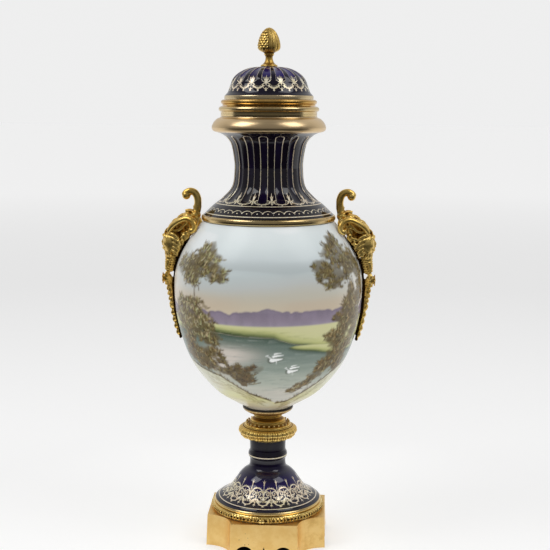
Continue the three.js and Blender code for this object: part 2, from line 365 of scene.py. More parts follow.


# gold that turns from yellow to copper to dark brown with the depth of the casting: the darkening into the
# hollows, near black at the deepest, is painted shade, and raised points get a paler tone; the Tarnish
# value and random patches add real tarnish
goldTone, kit, given, out, place = nodeGroup(
    "goldTone", ["Hollow", "Patch", "Tarnish", "Grain"], ["Color", "Roughness", "Height"]
)
patches = kit.noise(place, 60.0, 3.0, 0.6)
grain = kit.noise(place, 1400.0, 2.0, 0.7)
shadeAndTarnish = kit.plus(given["Hollow"], kit.swing(patches, given["Patch"]))
shadeAndTarnish = kit.plus(kit.plus(shadeAndTarnish, kit.swing(grain, 0.25)), given["Tarnish"])
warm = kit.mixed(kit.spread(patches, 0.36, 0.66), (0.84, 0.54, 0.13), (0.94, 0.68, 0.22))
warm = kit.mixed(kit.spread(shadeAndTarnish, -0.75, -0.1), (0.88, 0.66, 0.28), warm)
tone = kit.mixed(kit.spread(shadeAndTarnish, 0.0, 0.45), warm, (0.3, 0.16, 0.03))
tone = kit.mixed(kit.spread(shadeAndTarnish, 0.4, 0.9), tone, (0.045, 0.022, 0.006))
rough = kit.plus(kit.spread(shadeAndTarnish, -0.5, 0.9, (0.2, 0.62)), kit.swing(grain, given["Grain"]))
kit.feed(out, {"Color": tone, "Roughness": rough, "Height": kit.times(grain, given["Grain"])})

# hair scratches and soft smears from years of polishing
rubbed, kit, given, out, place = nodeGroup("rubbed", ["Amount"], ["Roughness", "Height", "Smear"])
smear = kit.noise(place, 28.0, 4.0, 0.65)
along = kit.add("ShaderNodeMapping", {"Vector": place, "Scale": (1, 1, 14)}).outputs[0]
hairs = kit.noise(along, 260.0, 3.0, 0.75)
rough = kit.times(kit.plus(kit.maths("SUBTRACT", smear, 0.5), kit.swing(hairs, 0.6)), given["Amount"])
kit.feed(out, {"Smear": smear, "Roughness": rough, "Height": kit.times(hairs, given["Amount"])})

# painted gilding: where it lies, and how its colour and thickness wander
gilding, kit, given, out, place = nodeGroup("gilding", ["Gap", "Edge"], ["Mask", "Color", "Roughness"])
wander = kit.noise(place, 420.0, 2.0, 0.6)
broad = kit.noise(place, 26.0, 2.0, 0.5)
gap = kit.plus(given["Gap"], kit.swing(wander, 0.34, 0.42))
mask = kit.spread(gap, kit.times(given["Edge"], -1.0), given["Edge"], (1, 0))
gold = kit.mixed(kit.spread(broad, 0.4, 0.6), (0.84, 0.66, 0.46), (0.84, 0.74, 0.48))
gold = kit.mixed(kit.spread(wander, 0.35, 0.7), gold, (0.94, 0.88, 0.72))
kit.feed(out, {"Mask": mask, "Color": gold, "Roughness": kit.spread(wander, 0.3, 0.7, (0.2, 0.4))})

# cobalt glaze: near black where it is thin, ultramarine where it pools
cobalt, kit, given, out, place = nodeGroup("cobalt", ["Pool"], ["Color", "Roughness", "Height"])
cloud = kit.noise(place, 34.0, 3.0, 0.55)
pool = kit.plus(given["Pool"], kit.swing(cloud, 0.7))
blues = [(0.0, (0.0035, 0.002, 0.006)), (0.45, (0.007, 0.004, 0.026)), (1.0, (0.02, 0.009, 0.14))]
kit.feed(out, {
    "Color": kit.colours(kit.spread(pool, 0.0, 1.0, smooth=False), blues),
    "Roughness": kit.spread(cloud, 0.3, 0.7, (0.035, 0.075)),
    "Height": kit.noise(place, 90.0, 1.0),
})


def castGold(name, patch, grain, tarnish=0.0):
    material, kit, sockets = newMaterial(name, {"Metallic": 1.0})
    inputs = {"Place": kit.objectPlace(), "Hollow": kit.attribute("hollow"), "Patch": patch, "Grain": grain}
    tone = kit.placed(goldTone, {**inputs, "Tarnish": tarnish})
    lift = kit.bump(tone["Height"], 0.00012, 0.5)
    kit.feed(sockets, {"Base Color": tone["Color"], "Roughness": tone["Roughness"], "Normal": lift})
    return material


def turnedGold(name, colour, deep, roughness):
    material, kit, sockets = newMaterial(name, {"Metallic": 1.0})
    worn = kit.placed(rubbed, {"Place": kit.objectPlace(), "Amount": 0.22})
    kit.feed(sockets, {
        "Base Color": kit.mixed(kit.spread(worn["Smear"], 0.35, 0.7), colour, deep),
        "Roughness": kit.plus(worn["Roughness"], roughness),
        "Normal": kit.bump(worn["Height"], 0.00012, 0.3),
    })
    return material


def cobaltGlaze(name, pool, edgeColour, edgeRoughness):
    material, kit, sockets = newMaterial(name, {"IOR": 1.52})
    place, edge = kit.objectPlace(), kit.attribute("edge")
    glaze = kit.placed(cobalt, {"Place": place, "Pool": kit.plus(kit.attribute("pool"), pool)})
    lines = kit.placed(gilding, {"Place": place, "Gap": kit.attribute("gilt"), "Edge": 0.12})
    colour = kit.mixed(lines["Mask"], glaze["Color"], lines["Color"])
    rough = kit.blend(lines["Mask"], glaze["Roughness"], lines["Roughness"])
    kit.feed(sockets, {
        "Base Color": kit.mixed(edge, colour, edgeColour),
        "Metallic": kit.maths("MAXIMUM", kit.times(lines["Mask"], 0.45), edge),
        "Roughness": kit.blend(edge, rough, edgeRoughness),
        "Normal": kit.bump(glaze["Height"], 0.0003, 0.25),
    })
    return material


giltCasting = castGold("giltCasting", 0.5, 0.25)
dullCasting = castGold("dullCasting", 0.6, 0.25, 0.55)
brightCasting = castGold("brightCasting", 0.5, 0.2, 0.2)
budCasting = castGold("budCasting", 0.5, 0.25, 0.2)
print("finishes ready")

# camera, floor and light

view = {
    "distance": 1.175, "height": 0.4625, "azimuth": 3.5, "down": 8.48, "aside": 0.343, "roll": 0.25,
    "lens": 73.309,
}

camera = bpy.data.objects.new("camera", bpy.data.cameras.new("camera"))
camera.data.lens = view["lens"]
camera.data.sensor_width = 36
azimuth = math.radians(view["azimuth"])
standing = Vector((math.sin(azimuth), -math.cos(azimuth), 0)) * view["distance"]
standing.z = view["height"]
camera.matrix_world = (
    Matrix.Translation(standing)
    @ Matrix.Rotation(azimuth - math.radians(view["aside"]), 4, "Z")
    @ Matrix.Rotation(math.radians(90 - view["down"]), 4, "X")
    @ Matrix.Rotation(math.radians(view["roll"]), 4, "Z")
)
scene.collection.objects.link(camera)
scene.camera = camera

floorBm = bmesh.new()
bmesh.ops.create_grid(floorBm, x_segments=1, y_segments=1, size=30)
floorMesh = bpy.data.meshes.new("floor")
floorBm.to_mesh(floorMesh)
floorBm.free()
floor = bpy.data.objects.new("floor", floorMesh)
scene.collection.objects.link(floor)
paper, kit, sockets = newMaterial("paper", {"Roughness": 0.9, "Emission Strength": 1.0})
place = kit.objectPlace()
away = kit.add("ShaderNodeVectorMath", {0: place}, operation="LENGTH").outputs["Value"]
glossy = kit.add("ShaderNodeLightPath").outputs["Is Glossy Ray"]
# a painted reflection: for glossy rays the floor in front turns dark, standing in for a dark room in front
unlit = kit.times(
    kit.times(glossy, kit.spread(away, 0.14, 0.4)), kit.spread(kit.axis(place, "Y"), 0.4, -0.2)
)
pale = kit.mixed(kit.noise(place, 3.0), (0.8, 0.8, 0.8), (0.81, 0.81, 0.81))
greys = [(0, 0.42), (0.03, 0.33), (0.08, 0.25), (0.36, 0.24), (1, 0.37)]
glow = kit.colours(kit.maths("DIVIDE", away, 5.0), [(at, (grey,) * 3) for at, grey in greys])
# painted shade: the paper under the plinth is painted black
halves = [kit.maths("ABSOLUTE", kit.axis(place, axis)) for axis in "XY"]
square = kit.spread(kit.maths("MAXIMUM", *halves), 0.0605, 0.0595)
under = kit.times(square, kit.spread(kit.plus(*halves), 0.084, 0.082))
unlit = kit.maths("MAXIMUM", unlit, under)
kit.feed(
    sockets,
    {
        "Base Color": kit.mixed(unlit, pale, (0.012,) * 3),
        "Emission Color": kit.mixed(unlit, glow, (0.0,) * 3),
    },
)
floorMesh.materials.append(paper)

light = {
    "sky": 0.86, "fill": 0.62, "roomFront": 0.2, "roomBack": 0.66,
    "boxes": [
        ("leftBox", (-0.95, -0.45, 1.55), (0.75, 0.85), 6.2),
        ("rightBox", (0.95, -0.4, 1.55), (0.75, 0.85), 5.0),
    ],
}

world = bpy.data.worlds.new("studio")
scene.world = world
world.use_nodes = True
kit = Kit(world.node_tree)
backdrop = world.node_tree.nodes["Background"]
rays = kit.add("ShaderNodeLightPath").outputs
toward = kit.axis(kit.add("ShaderNodeTexCoord").outputs["Generated"], "Y")
# what is mirrored is dark in front and pale behind
mirrored = kit.mixed(kit.spread(toward, -0.2, 0.7), (light["roomFront"],) * 3, (light["roomBack"],) * 3)
room = kit.mixed(rays["Is Glossy Ray"], (light["fill"],) * 3, mirrored)
kit.feed(backdrop.inputs, {"Color": kit.mixed(rays["Is Camera Ray"], room, (light["sky"],) * 3)})

for name, place, size, power in light["boxes"]:
    lamp = bpy.data.lights.new(name, "AREA")
    lamp.shape = "RECTANGLE"
    lamp.size, lamp.size_y = size
    lamp.energy = power
    box = bpy.data.objects.new(name, lamp)
    box.location = place
    box.rotation_euler = (Vector((0, 0, 0.28)) - Vector(place)).to_track_quat("-Z", "Y").to_euler()
    scene.collection.objects.link(box)
print("studio ready")

# plinth

plinth = {
    "rim": 0.18, "height": 33.5, "half": 62.0, "spread": 1.2, "wall": 3.0, "scoop": 27.0,
    "archRadius": 9.7, "archOffset": 20.2, "archHeight": 0.3, "tipHeight": 2.6, "peakHeight": 10.0,
    "edge": 0.00055,
}


def apronLine(sizes):
    radius, offset = sizes["archRadius"], sizes["archOffset"]
    base, tip = sizes["archHeight"], sizes["tipHeight"]
    lift = math.degrees(math.asin((tip - base) / radius))
    left = [(-offset - radius, 0.0)] + [tuple(p) for p in arc(-offset, base, radius, 180, lift, 22)]
    for t in np.linspace(0, 1, 9):
        x = -radius / 2 * (1 - t) ** 2 - 2.8 * t * (1 - t)
        z = tip * (1 - t) ** 2 + 2 * t * (1 - t) * (tip + 1.5) + sizes["peakHeight"] * t * t
        left.append((x, z))
    return left + [(-x, z) for x, z in left[-2::-1]]


def makePlinth(sizes):
    half, height, flat = sizes["half"], sizes["height"], sizes["half"] - sizes["scoop"]
    bm = bmesh.new()
    for _ in range(4):
        outline = [(-flat, 0.0)] + apronLine(sizes) + [(flat, 0.0), (flat, height), (-flat, height)]
        panel = [bm.verts.new((x, -half, z)) for x, z in outline]
        bm.faces.new(panel)
        bend = [bm.verts.new((x, y, 0)) for x, y in arc(half, -half, sizes["scoop"], 180, 90, 25)]
        foot = [bm.edges.new(pair) for pair in zip(bend, bend[1:])]
        raised = vertsOf(bmesh.ops.extrude_edge_only(bm, edges=foot)["geom"])
        bmesh.ops.translate(bm, verts=raised, vec=(0, 0, height))
        bmesh.ops.rotate(bm, verts=bm.verts, cent=(0, 0, 0), matrix=Matrix.Rotation(math.pi / 2, 3, "Z"))
    bmesh.ops.remove_doubles(bm, verts=bm.verts, dist=0.002)
    rim = [e for e in bm.edges if e.is_boundary and all(v.co.z > height - 0.01 for v in e.verts)]
    bmesh.ops.holes_fill(bm, edges=rim, sides=0)
    for v in bm.verts:
        grow = 1 + sizes["spread"] * (1 - v.co.z / height) / half
        v.co.x *= grow
        v.co.y *= grow
        v.co.z = max(v.co.z, sizes["rim"])
    return bm


satinBrass, kit, sockets = newMaterial("satinBrass", {"Metallic": 1.0})
place = kit.objectPlace()
worn = kit.placed(rubbed, {"Place": place, "Amount": 0.16})
mottle = kit.noise(place, 75.0, 4.0, 0.7)
# painted shade: the +X side of the plinth is darker in mottled patches
sides = kit.spread(kit.axis(place, "X"), 0.02, 0.06)
spot = kit.add("ShaderNodeTexVoronoi", {"Vector": place, "Scale": 210.0}).outputs["Distance"]
pits = kit.spread(kit.plus(spot, kit.times(kit.noise(place, 30.0, 1.0), 0.35)), 0.16, 0.22, (1, 0))
tone = kit.mixed(kit.spread(mottle, 0.35, 0.65), (0.9, 0.63, 0.25), (0.84, 0.55, 0.19))
tone = kit.mixed(kit.times(kit.spread(mottle, 0.45, 0.7), sides), tone, (0.72, 0.46, 0.15))
kit.feed(sockets, {
    "Base Color": kit.mixed(pits, tone, (0.12, 0.05, 0.015)),
    "Roughness": kit.plus(kit.plus(worn["Roughness"], 0.42), kit.times(pits, 0.3)),
    "Normal": kit.bump(kit.maths("SUBTRACT", worn["Height"], pits), 0.0003, 0.4),
})

rawCasting, kit, sockets = newMaterial("rawCasting", {"Metallic": 0.6, "Roughness": 0.8})
mottle = kit.noise(kit.objectPlace(), 90.0)
kit.feed(sockets, {"Base Color": kit.mixed(mottle, (0.03, 0.018, 0.008), (0.06, 0.038, 0.016))})

base = setDown(
    meshFrom(makePlinth(plinth), "plinthMesh"), "plinthShell", ["plinth"],
    satinBrass, sharp=0,
)
base.data.materials.append(rawCasting)
wall = base.modifiers.new("wall", "SOLIDIFY")
wall.thickness = plinth["wall"] / 1000
wall.offset = -1
wall.use_even_offset = True
wall.material_offset = 1
edges = base.modifiers.new("edges", "BEVEL")
edges.width = plinth["edge"]
edges.segments = 2
edges.limit_method = "ANGLE"
edges.angle_limit = math.radians(38)
edges.harden_normals = True
print("plinth ready")

# foot ring: a laurel band tied with crossed ribbons, and a small leaf over its front and back

footRing = {
    "low": 33.8, "top": 40.8, "middle": 37.3, "bulge": 2.7, "inner": 50.0, "reach": 59.9,
    "lift": 1.0, "leaves": 96, "ties": 24, "steps": 768,
}


def makeFootRing(sizes):
    low, top, reach, middle, bulge = (sizes[key] for key in ("low", "top", "reach", "middle", "bulge"))
    swell = [
        (reach - 0.5 + 0.9 * math.sin(a), middle - bulge * math.cos(a))
        for a in np.linspace(0, math.pi, 13)
    ]
    profile = [(sizes["inner"], low), (reach - 1.2, low), (reach - 0.4, low + 0.35)] + swell
    profile += [(reach - 0.8, top - 0.5), (reach - 1.2, top), (sizes["inner"], top)]
    mesh = meshFrom(lathe(profile, sizes["steps"]), "footRingMesh")
    places = spots(mesh)
    radius, height, angle = around(places)
    across = np.clip((height - middle) / bulge, -1, 1)
    onBand = (radius > reach - 0.7) & (np.abs(height - middle) < bulge + 0.05)
    leaf = (angle / full * sizes["leaves"] + 0.9 * np.abs(across)) % 1.0
    lift = (1 - leaf) ** 0.7 * (0.35 + 0.65 * np.abs(np.sin(across * math.pi * 1.02)))
    tie = np.abs(folded(angle, sizes["ties"], 7.5)) * reach
    cross = np.abs(np.abs(folded(angle, sizes["ties"], 7.5)) * reach - 1.3 * np.abs(across))
    lift = np.where(tie < 2.2, np.where(cross < 0.45, 1.0, 0.25), lift)
    for front in (-2.5, 177.5):
        away = folded(angle, 1, front) * reach
        sprig = 1 - (away / 3.4) ** 2 - ((height - 36.2) / 2.6) ** 2
        lift = np.where(
            sprig > 0, 1.0 + 1.1 * np.sqrt(np.clip(sprig, 0, 1)) - 0.5 * (np.abs(away) < 0.3), lift
        )
    moveTo(mesh, pushed(places, np.where(onBand, sizes["lift"] * (lift - 0.3), 0)))
    markHollows(mesh, 8, 0.22)
    return mesh


setDown(makeFootRing(footRing), "laurelRing", ["foot_ring"], dullCasting, sharp=50)
print("foot ring ready")

# foot: a bell with a gilded arabesque

foot = {
    "low": 41.1, "top": 109.0, "steps": 464, "motifs": 16, "phase": -2.8, "lace": 42.0,
    "outside": [(57, 41.1), (57.6, 43), (56.4, 44.5), (54.4, 45.6)],
    "flare": [
        (53.2, 46.8), (48.4, 49.4), (43.8, 52.4), (40.6, 55.4), (37.9, 59), (35.6, 62.4),
        (33.2, 65.6), (31, 69), (28.2, 72.2), (25.2, 74.8), (22.2, 76.9), (20.3, 79), (19.4, 81.6),
    ],
    "neck": [
        (19.2, 85), (19.6, 88.6), (20.8, 90.4), (21, 92.6), (20.6, 94.6), (19.6, 96.8),
        (19.2, 99.4), (19.6, 109),
    ],
    "bore": [(13, 100), (14, 77), (30, 56.5), (49.5, 44), (52, 41.1)],
}


def footStrokes():
    edge = 8.25
    strokes = [
        ([(0, 27), (0, 39)], 0.34, 0.22), ([(0, 38), (0, 43)], 0.5, 0.12),
        ([(0, 38.4), (1.1, 39.4), (2.3, 41.4)], 0.34, 0.12), ([(0, 36.4), (1.2, 37)], 0.24, 0.12),
        (smoothCurve([(0.3, 25.5), (1.6, 29.8), (4.6, 32.6), (edge, 33.4)], 6), 0.5, 0.42),
        ([(2.2, 30.8), (1.3, 32.3)], 0.3, 0.1), ([(4.6, 32.6), (4.2, 34.4)], 0.3, 0.1),
        ([(6.6, 33.2), (6.6, 35)], 0.3, 0.1), (curl(4.3, 27.2, 2.9, 0.5, 150, -280), 0.46, 0.3),
        (curl(2.2, 22.4, 2.0, 0.5, 250, -120), 0.42, 0.26), ([(edge, 20.5), (edge, 31)], 0.4, 0.26),
        ([(edge, 27.4), (6.7, 29.6)], 0.42, 0.12), ([(edge, 24.4), (6.5, 25.6)], 0.42, 0.12),
        (smoothCurve([(0, 13.2), (3, 14.3), (5.4, 17.4), (6.6, 21.2)], 6), 0.42, 0.42),
        (curl(6.2, 18.6, 1.9, 0.5, 60, 420), 0.36, 0.24),
        (curl(2.6, 18.2, 1.7, 0.4, -60, 300), 0.38, 0.24), ([(0, 17.4), (0, 26.5)], 0.3, 0.42),
        ([(0, 13.2), (0, 10.4)], 0.5, 0.12), ([(0, 12.6), (1.5, 11.3)], 0.36, 0.1),
        ([(3.6, 14.9), (4.3, 13.1)], 0.3, 0.1), ([(edge, 20.6), (edge, 11.6)], 0.34, 0.14),
        ([(edge, 14.6), (6.7, 12.6)], 0.4, 0.1), ([(edge, 17.2), (7, 16.2)], 0.32, 0.1),
        (curl(5.0, 23.4, 1.2, 0.3, 200, -100), 0.34, 0.22),
    ]
    return [(path, wide * 1.35, narrow * 1.5) for path, wide, narrow in strokes]


def makeFoot(sizes):
    outside = (
        softened(sizes["outside"], 0.5, 3, closed=False) + smoothCurve(sizes["flare"], 5)
        + smoothCurve([sizes["flare"][-1]] + sizes["neck"], 5)[1:]
    )
    flat = evenly(outside, 0.62)
    profile = [(0.0, sizes["top"])] + flat[::-1] + evenly(sizes["bore"][::-1], 5) + [(0, 100)]
    mesh = meshFrom(lathe(profile, sizes["steps"], closed=False), "footMesh")
    radius, height, angle = around(spots(mesh))
    line = np.array(flat)
    along = lengths(line)
    rise = np.interp(height, line[:, 1], along)
    outer = np.abs(radius - np.interp(height, line[:, 1], line[:, 0])) < 0.35
    x = np.abs(folded(angle, sizes["motifs"], sizes["phase"])) * sizes["lace"]
    gap = np.full(len(x), 9.0)
    band = outer & (rise > 9.5) & (rise < 44.5)
    gap[band] = strokeGap(x[band], rise[band], footStrokes())
    for level, half in ((8.4, 0.5), (68, 0.55)):
        gap = np.where(outer, np.minimum(gap, np.abs(rise - level) - half), gap)
    mark(mesh, "gilt", gap)
    mark(mesh, "edge", np.where(outer & (rise < 3.5), 1.0, 0.0))
    mark(mesh, "pool", np.where(outer, 0.55 * np.exp(-((height - 66) / 16) ** 2), 0))
    return mesh


footGlaze = cobaltGlaze("footGlaze", 0.02, (0.8, 0.58, 0.25), 0.2)
setDown(makeFoot(foot), "bellFoot", ["foot"], footGlaze, sharp=40)
print("foot ready")

# stem mount: a spool over a ring of beads and a knop of leaves

stem = {
    "leaves": 18, "beads": 27, "steps": 544, "beadRadius": 1.15, "beadRing": 22.9,
    "beadHeight": 127.6, "leafDepth": 1.3,
    "knop": [
        (19.9, 109.4), (20.3, 110.8), (24.6, 111.2), (27.4, 112.2), (29, 113.8), (29.4, 115.4),
        (30.4, 116.8), (31.5, 118.4), (31.4, 120.4), (30.2, 122.2), (27.2, 123.6),
    ],
    "upper": [
        (26.2, 123.7), (25.8, 124.6), (25, 124.9), (24.2, 125.9), (21.2, 126.6), (19.6, 127.6),
        (18.9, 128.8), (18.5, 129.5), (18.6, 130.3), (17.9, 130.9), (15.4, 131.6), (14, 132.6),
        (13.9, 133.5), (14.6, 134), (15.1, 134.6), (14.7, 135.2), (14.7, 135.7), (15.3, 136.1),
        (15.4, 136.6), (15.1, 136.9),
    ],
}


def makeStem(sizes):
    profile = (
        [(0, 109.3)] + evenly(smoothCurve(sizes["knop"], 5), 0.5) + smoothCurve(sizes["upper"], 4)
        + [(0, 136.9)]
    )
    bm = lathe(profile, sizes["steps"], closed=False)
    bead = ballShape(14, 9)
    for k in range(sizes["beads"]):
        turn = full * (k + 0.5) / sizes["beads"]
        spot = (
            sizes["beadRing"] * math.sin(turn), -sizes["beadRing"] * math.cos(turn),
            sizes["beadHeight"],
        )
        joined(bm, bead, Matrix.Translation(spot) @ Matrix.Scale(sizes["beadRadius"], 4))
    mesh = meshFrom(bm, "stemMesh")
    places = spots(mesh)
    radius, height, angle = around(places)
    turn = folded(angle, sizes["leaves"], 3.0) / (full / sizes["leaves"])
    rise = np.clip((height - 111.2) / 12.4, 0, 1)
    band = (height > 111.0) & (height < 123.8) & (radius > 24)
    lobe = np.sqrt(np.clip(1 - (np.abs(turn) * 2) ** 2.4, 0, 1))
    scallop = np.clip((rise - 0.16 * (np.abs(turn) * 2) ** 2) * 14, 0, 1)
    vein = 0.3 * np.exp(-(turn / 0.045) ** 2) + 0.14 * np.cos(turn * full * 3.5)
    lift = (
        sizes["leafDepth"] * (lobe * scallop * (1 - 0.75 * rise**3) - 0.75)
        - vein * (rise > 0.1) * scallop
    )
    moveTo(mesh, pushed(places, np.where(band, lift * np.clip((123.8 - height) / 1.5, 0, 1), 0)))
    markHollows(mesh, 12, 0.35)
    return mesh


setDown(makeStem(stem), "beadedKnop", ["stem_mount"], brightCasting, sharp=50)
print("stem mount ready")

# rings of turned brass

palerBrass = turnedGold("palerBrass", (0.8, 0.62, 0.33), (0.66, 0.48, 0.22), 0.2)
deepBrass = turnedGold("deepBrass", (0.78, 0.5, 0.16), (0.55, 0.3, 0.07), 0.2)

rings = {
    "shoulderBead": (
        "shoulder_ring", palerBrass,
        [
            (62, 345.8), (68.4, 345.8), (69.6, 346.3), (70.3, 347.3), (70.5, 349), (70.2, 350.8),
            (69.3, 351.9), (68.2, 352.3), (62, 352.3),
        ],
    ),
    "neckCollar": (
        "collar", palerBrass,
        [
            (44, 453.7), (50, 453.7), (50, 458.8), (50.8, 459), (51.8, 459.7), (52.2, 460.8),
            (52.2, 461.8), (51.7, 462.9), (50.6, 463.7), (49, 464.3), (44, 464.3),
        ],
    ),
    "lidRim": (
        "lid_ring", deepBrass,
        [
            (40.6, 459), (43.2, 459), (43.2, 464.6), (48.2, 464.6), (48.2, 466), (48.7, 466.4),
            (49.7, 467.5), (49.9, 468.7), (49.6, 469.8), (48.6, 470.5), (48, 470.9), (40.6, 470.9),
        ],
    ),
}
for name, (node, finish, profile) in rings.items():
    ring = evenly(softened(profile, 0.35, 4), 3)
    setDown(meshFrom(lathe(ring, 256), name + "Mesh"), name, [node], finish)
print("rings ready")

# neck: sixteen flutes, a gilded lace border and an ovolo lip

neck = {
    "steps": 448, "flutes": 16, "phase": -4.0, "scallops": 36, "scallopPhase": -2.0, "depth": 1.7,
    "half": 0.105, "low": 366.5, "high": 434.0,
    "outside": [
        (68, 352.6), (57.6, 362.4), (48, 370), (38.2, 382), (35.8, 400), (36.6, 412), (38.9, 424),
        (42.2, 430.2), (46.8, 434.4), (52.6, 437.2),
    ],
    "lip": [
        (54, 437.6), (56.4, 438.2), (58.4, 439.4), (59.4, 441.4), (59.3, 443.6), (58.2, 446.4),
        (56.4, 449), (53.8, 451.4), (51, 452.6), (50.4, 453.4),
    ],
    "bore": [(44, 453.4), (44, 441), (36.5, 433), (30.4, 415), (32, 383), (46, 364.5), (63, 352.6)],
}


def neckLace(x, rise, pitch):
    edge = pitch / 2
    strokes = [
        ([(edge, 27.0), (edge, 36.5)], 1.0, 0.12), ([(edge, 27.5), (edge - 2.0, 33.6)], 0.6, 0.12),
        ([(edge, 20.0), (edge, 26.0)], 0.3, 0.5), ([(edge, 21.2), (edge - 2.2, 23.4)], 0.42, 0.14),
        ([(edge, 23.2), (edge - 1.2, 25.0)], 0.36, 0.1),
        (
            smoothCurve([(edge - 1.2, 25.4), (edge - 2.6, 22.6), (edge - 5.6, 20.9), (0, 20.6)], 6),
            0.5, 0.4,
        ),
        (curl(edge - 3.0, 25.2, 1.5, 0.5, 150, -120), 0.4, 0.3),
        (curl(2.0, 23.2, 1.5, 0.5, -90, 170), 0.4, 0.26), ([(0, 19.8), (0, 18.9)], 0.5, 0.4),
        ([(0, 21), (0, 24.6)], 0.36, 0.1), ([(edge - 5.4, 21.0), (edge - 5.6, 19.4)], 0.32, 0.1),
    ]
    return strokeGap(x, rise, strokes)


def makeNeck(sizes):
    wall = evenly(smoothCurve(sizes["outside"], 10), 1.0)
    flat = wall + evenly(smoothCurve(sizes["lip"], 4), 1.0)
    profile = flat + evenly(sizes["bore"], 5) + [sizes["outside"][0]]
    mesh = meshFrom(lathe(profile[:-1], sizes["steps"]), "neckMesh")
    places = spots(mesh)
    radius, height, angle = around(places)
    line = np.array(wall)
    along = lengths(line)
    rise = np.interp(height, line[:, 1], along)
    wallRadius = np.interp(height, line[:, 1], line[:, 0])
    outer = (np.abs(radius - wallRadius) < 0.4) & (height < 437.3)
    turn = np.abs(folded(angle, sizes["flutes"], sizes["phase"]))
    start, stop = np.interp([sizes["low"], sizes["high"]], line[:, 1], along)
    # a flute is a channel with round ends, its half width given as an angle
    half = sizes["half"] * wallRadius
    endwise = np.maximum(np.maximum(start + 3.4 - rise, rise - stop + 3.0), 0)
    channel = np.hypot(turn * wallRadius, endwise * half / 3.4) - half
    inside = np.clip(-channel / half, 0, 1)
    depth = sizes["depth"] * np.sqrt(1 - (1 - inside) ** 2)
    moveTo(mesh, pushed(places, np.where(outer, -depth, 0)))
    pitch = full / sizes["flutes"] * wallRadius
    gap = np.abs(channel + 0.1) - 0.3 - 0.16 * np.clip((rise - stop + 16) / 14, 0, 1)
    gap = np.where((rise > start - 1.5) & (rise < stop + 1.0), gap, 9.0)
    band = outer & (rise > 17.5) & (rise < 38)
    lace = np.full(len(gap), 9.0)
    # the border is drawn on a pitch of 17 mm and narrows with the neck
    lace[band] = neckLace(turn[band] * 17 * sizes["flutes"] / full, rise[band], 17.0)
    gap = np.minimum(gap, np.where(channel > 0.2, lace, 9.0))
    fromMiddle = np.abs(folded(angle, sizes["scallops"], sizes["scallopPhase"] + 5.0))
    scallop = fromMiddle / (full / sizes["scallops"] / 2)
    top = 5.8 + 5.4 * np.sqrt(np.clip(1 - scallop**2, 0, 1))
    slope = 1 + 2.2 * np.clip(scallop - 0.55, 0, 1)
    swell = np.where((rise > 5.0) & (rise < 12.6), np.abs(rise - top) / slope - 0.42, 9.0)
    dots = np.hypot(scallop * full / sizes["scallops"] / 2 * wallRadius, rise - 7.4) - 0.8
    small = np.hypot((1 - scallop) * full / sizes["scallops"] / 2 * wallRadius, rise - 8.9) - 0.5
    for other in (swell, dots, small):
        gap = np.minimum(gap, other)
    for level, halfWide in ((3.1, 0.55), (17.6, 0.5)):
        gap = np.minimum(gap, np.abs(rise - level) - halfWide)
    mark(mesh, "gilt", np.where(outer, gap, 9.0))
    mark(mesh, "edge", np.where((height > 437.4) & (radius > 46), 1.0, 0.0))
    mark(mesh, "pool", np.where(outer & (channel < 0), 0.12, -0.1))
    return mesh


neckGlaze = cobaltGlaze("neckGlaze", 0.0, (0.78, 0.58, 0.33), 0.3)
setDown(makeNeck(neck), "flutedNeck", ["neck"], neckGlaze, sharp=45)
print("neck ready")

# lid: a fluted dome with gilded palmettes, and a gilded edge

lid = {
    "steps": 512, "flutes": 16, "phase": -0.8, "depth": 1.1, "half": 0.125,
    "edge": [(46.2, 471.2), (46.3, 474.4), (45.6, 475.3)],
    "dome": [
        (45.2, 475.8), (42.6, 479), (40, 486), (38, 491.3), (34, 496.4), (27, 500.9), (19, 503.6),
        (9.4, 504.6), (0, 504.6),
    ],
    "bore": [(40.5, 471.2), (37.5, 480), (34.6, 490), (25, 497.2), (0, 500.6)],
}


def lidLace(x, rise):
    edge = 7.78
    strokes = [
        ([(0, 18.6), (0, 24), (0, 28.2)], 0.75, 0.2),
        ([(0, 18.6), (1.9, 22.4), (3.6, 25.6)], 0.62, 0.18),
        ([(0, 18.6), (3, 20.2), (5.4, 21.4)], 0.62, 0.18),
        ([(0, 18.6), (2.8, 17.2), (4.6, 15.9)], 0.6, 0.18), ([(0, 18.6), (0, 14.6)], 0.7, 0.2),
        ([(0, 18.6), (1.2, 23.4), (1.9, 27)], 0.5, 0.15), ([(1.6, 15.4), (2.6, 14)], 0.4, 0.15),
        (smoothCurve([(2.9, 15.6), (4.4, 13.6), (6.2, 12.7), (edge, 12.5)], 6), 0.66, 0.62),
        ([(5, 13.2), (5.6, 15.9)], 0.44, 0.15), ([(6.7, 12.7), (6.8, 15.4)], 0.44, 0.15),
        ([(3.4, 14.6), (2.2, 12.4)], 0.46, 0.15), ([(edge, 10.2), (edge, 13.0)], 0.9, 0.45),
        ([(0, 10.4), (0, 13.7)], 0.9, 0.2), ([(1.4, 12), (1.4, 12.1)], 0.45, 0.45),
    ]
    return strokeGap(x, rise, strokes)


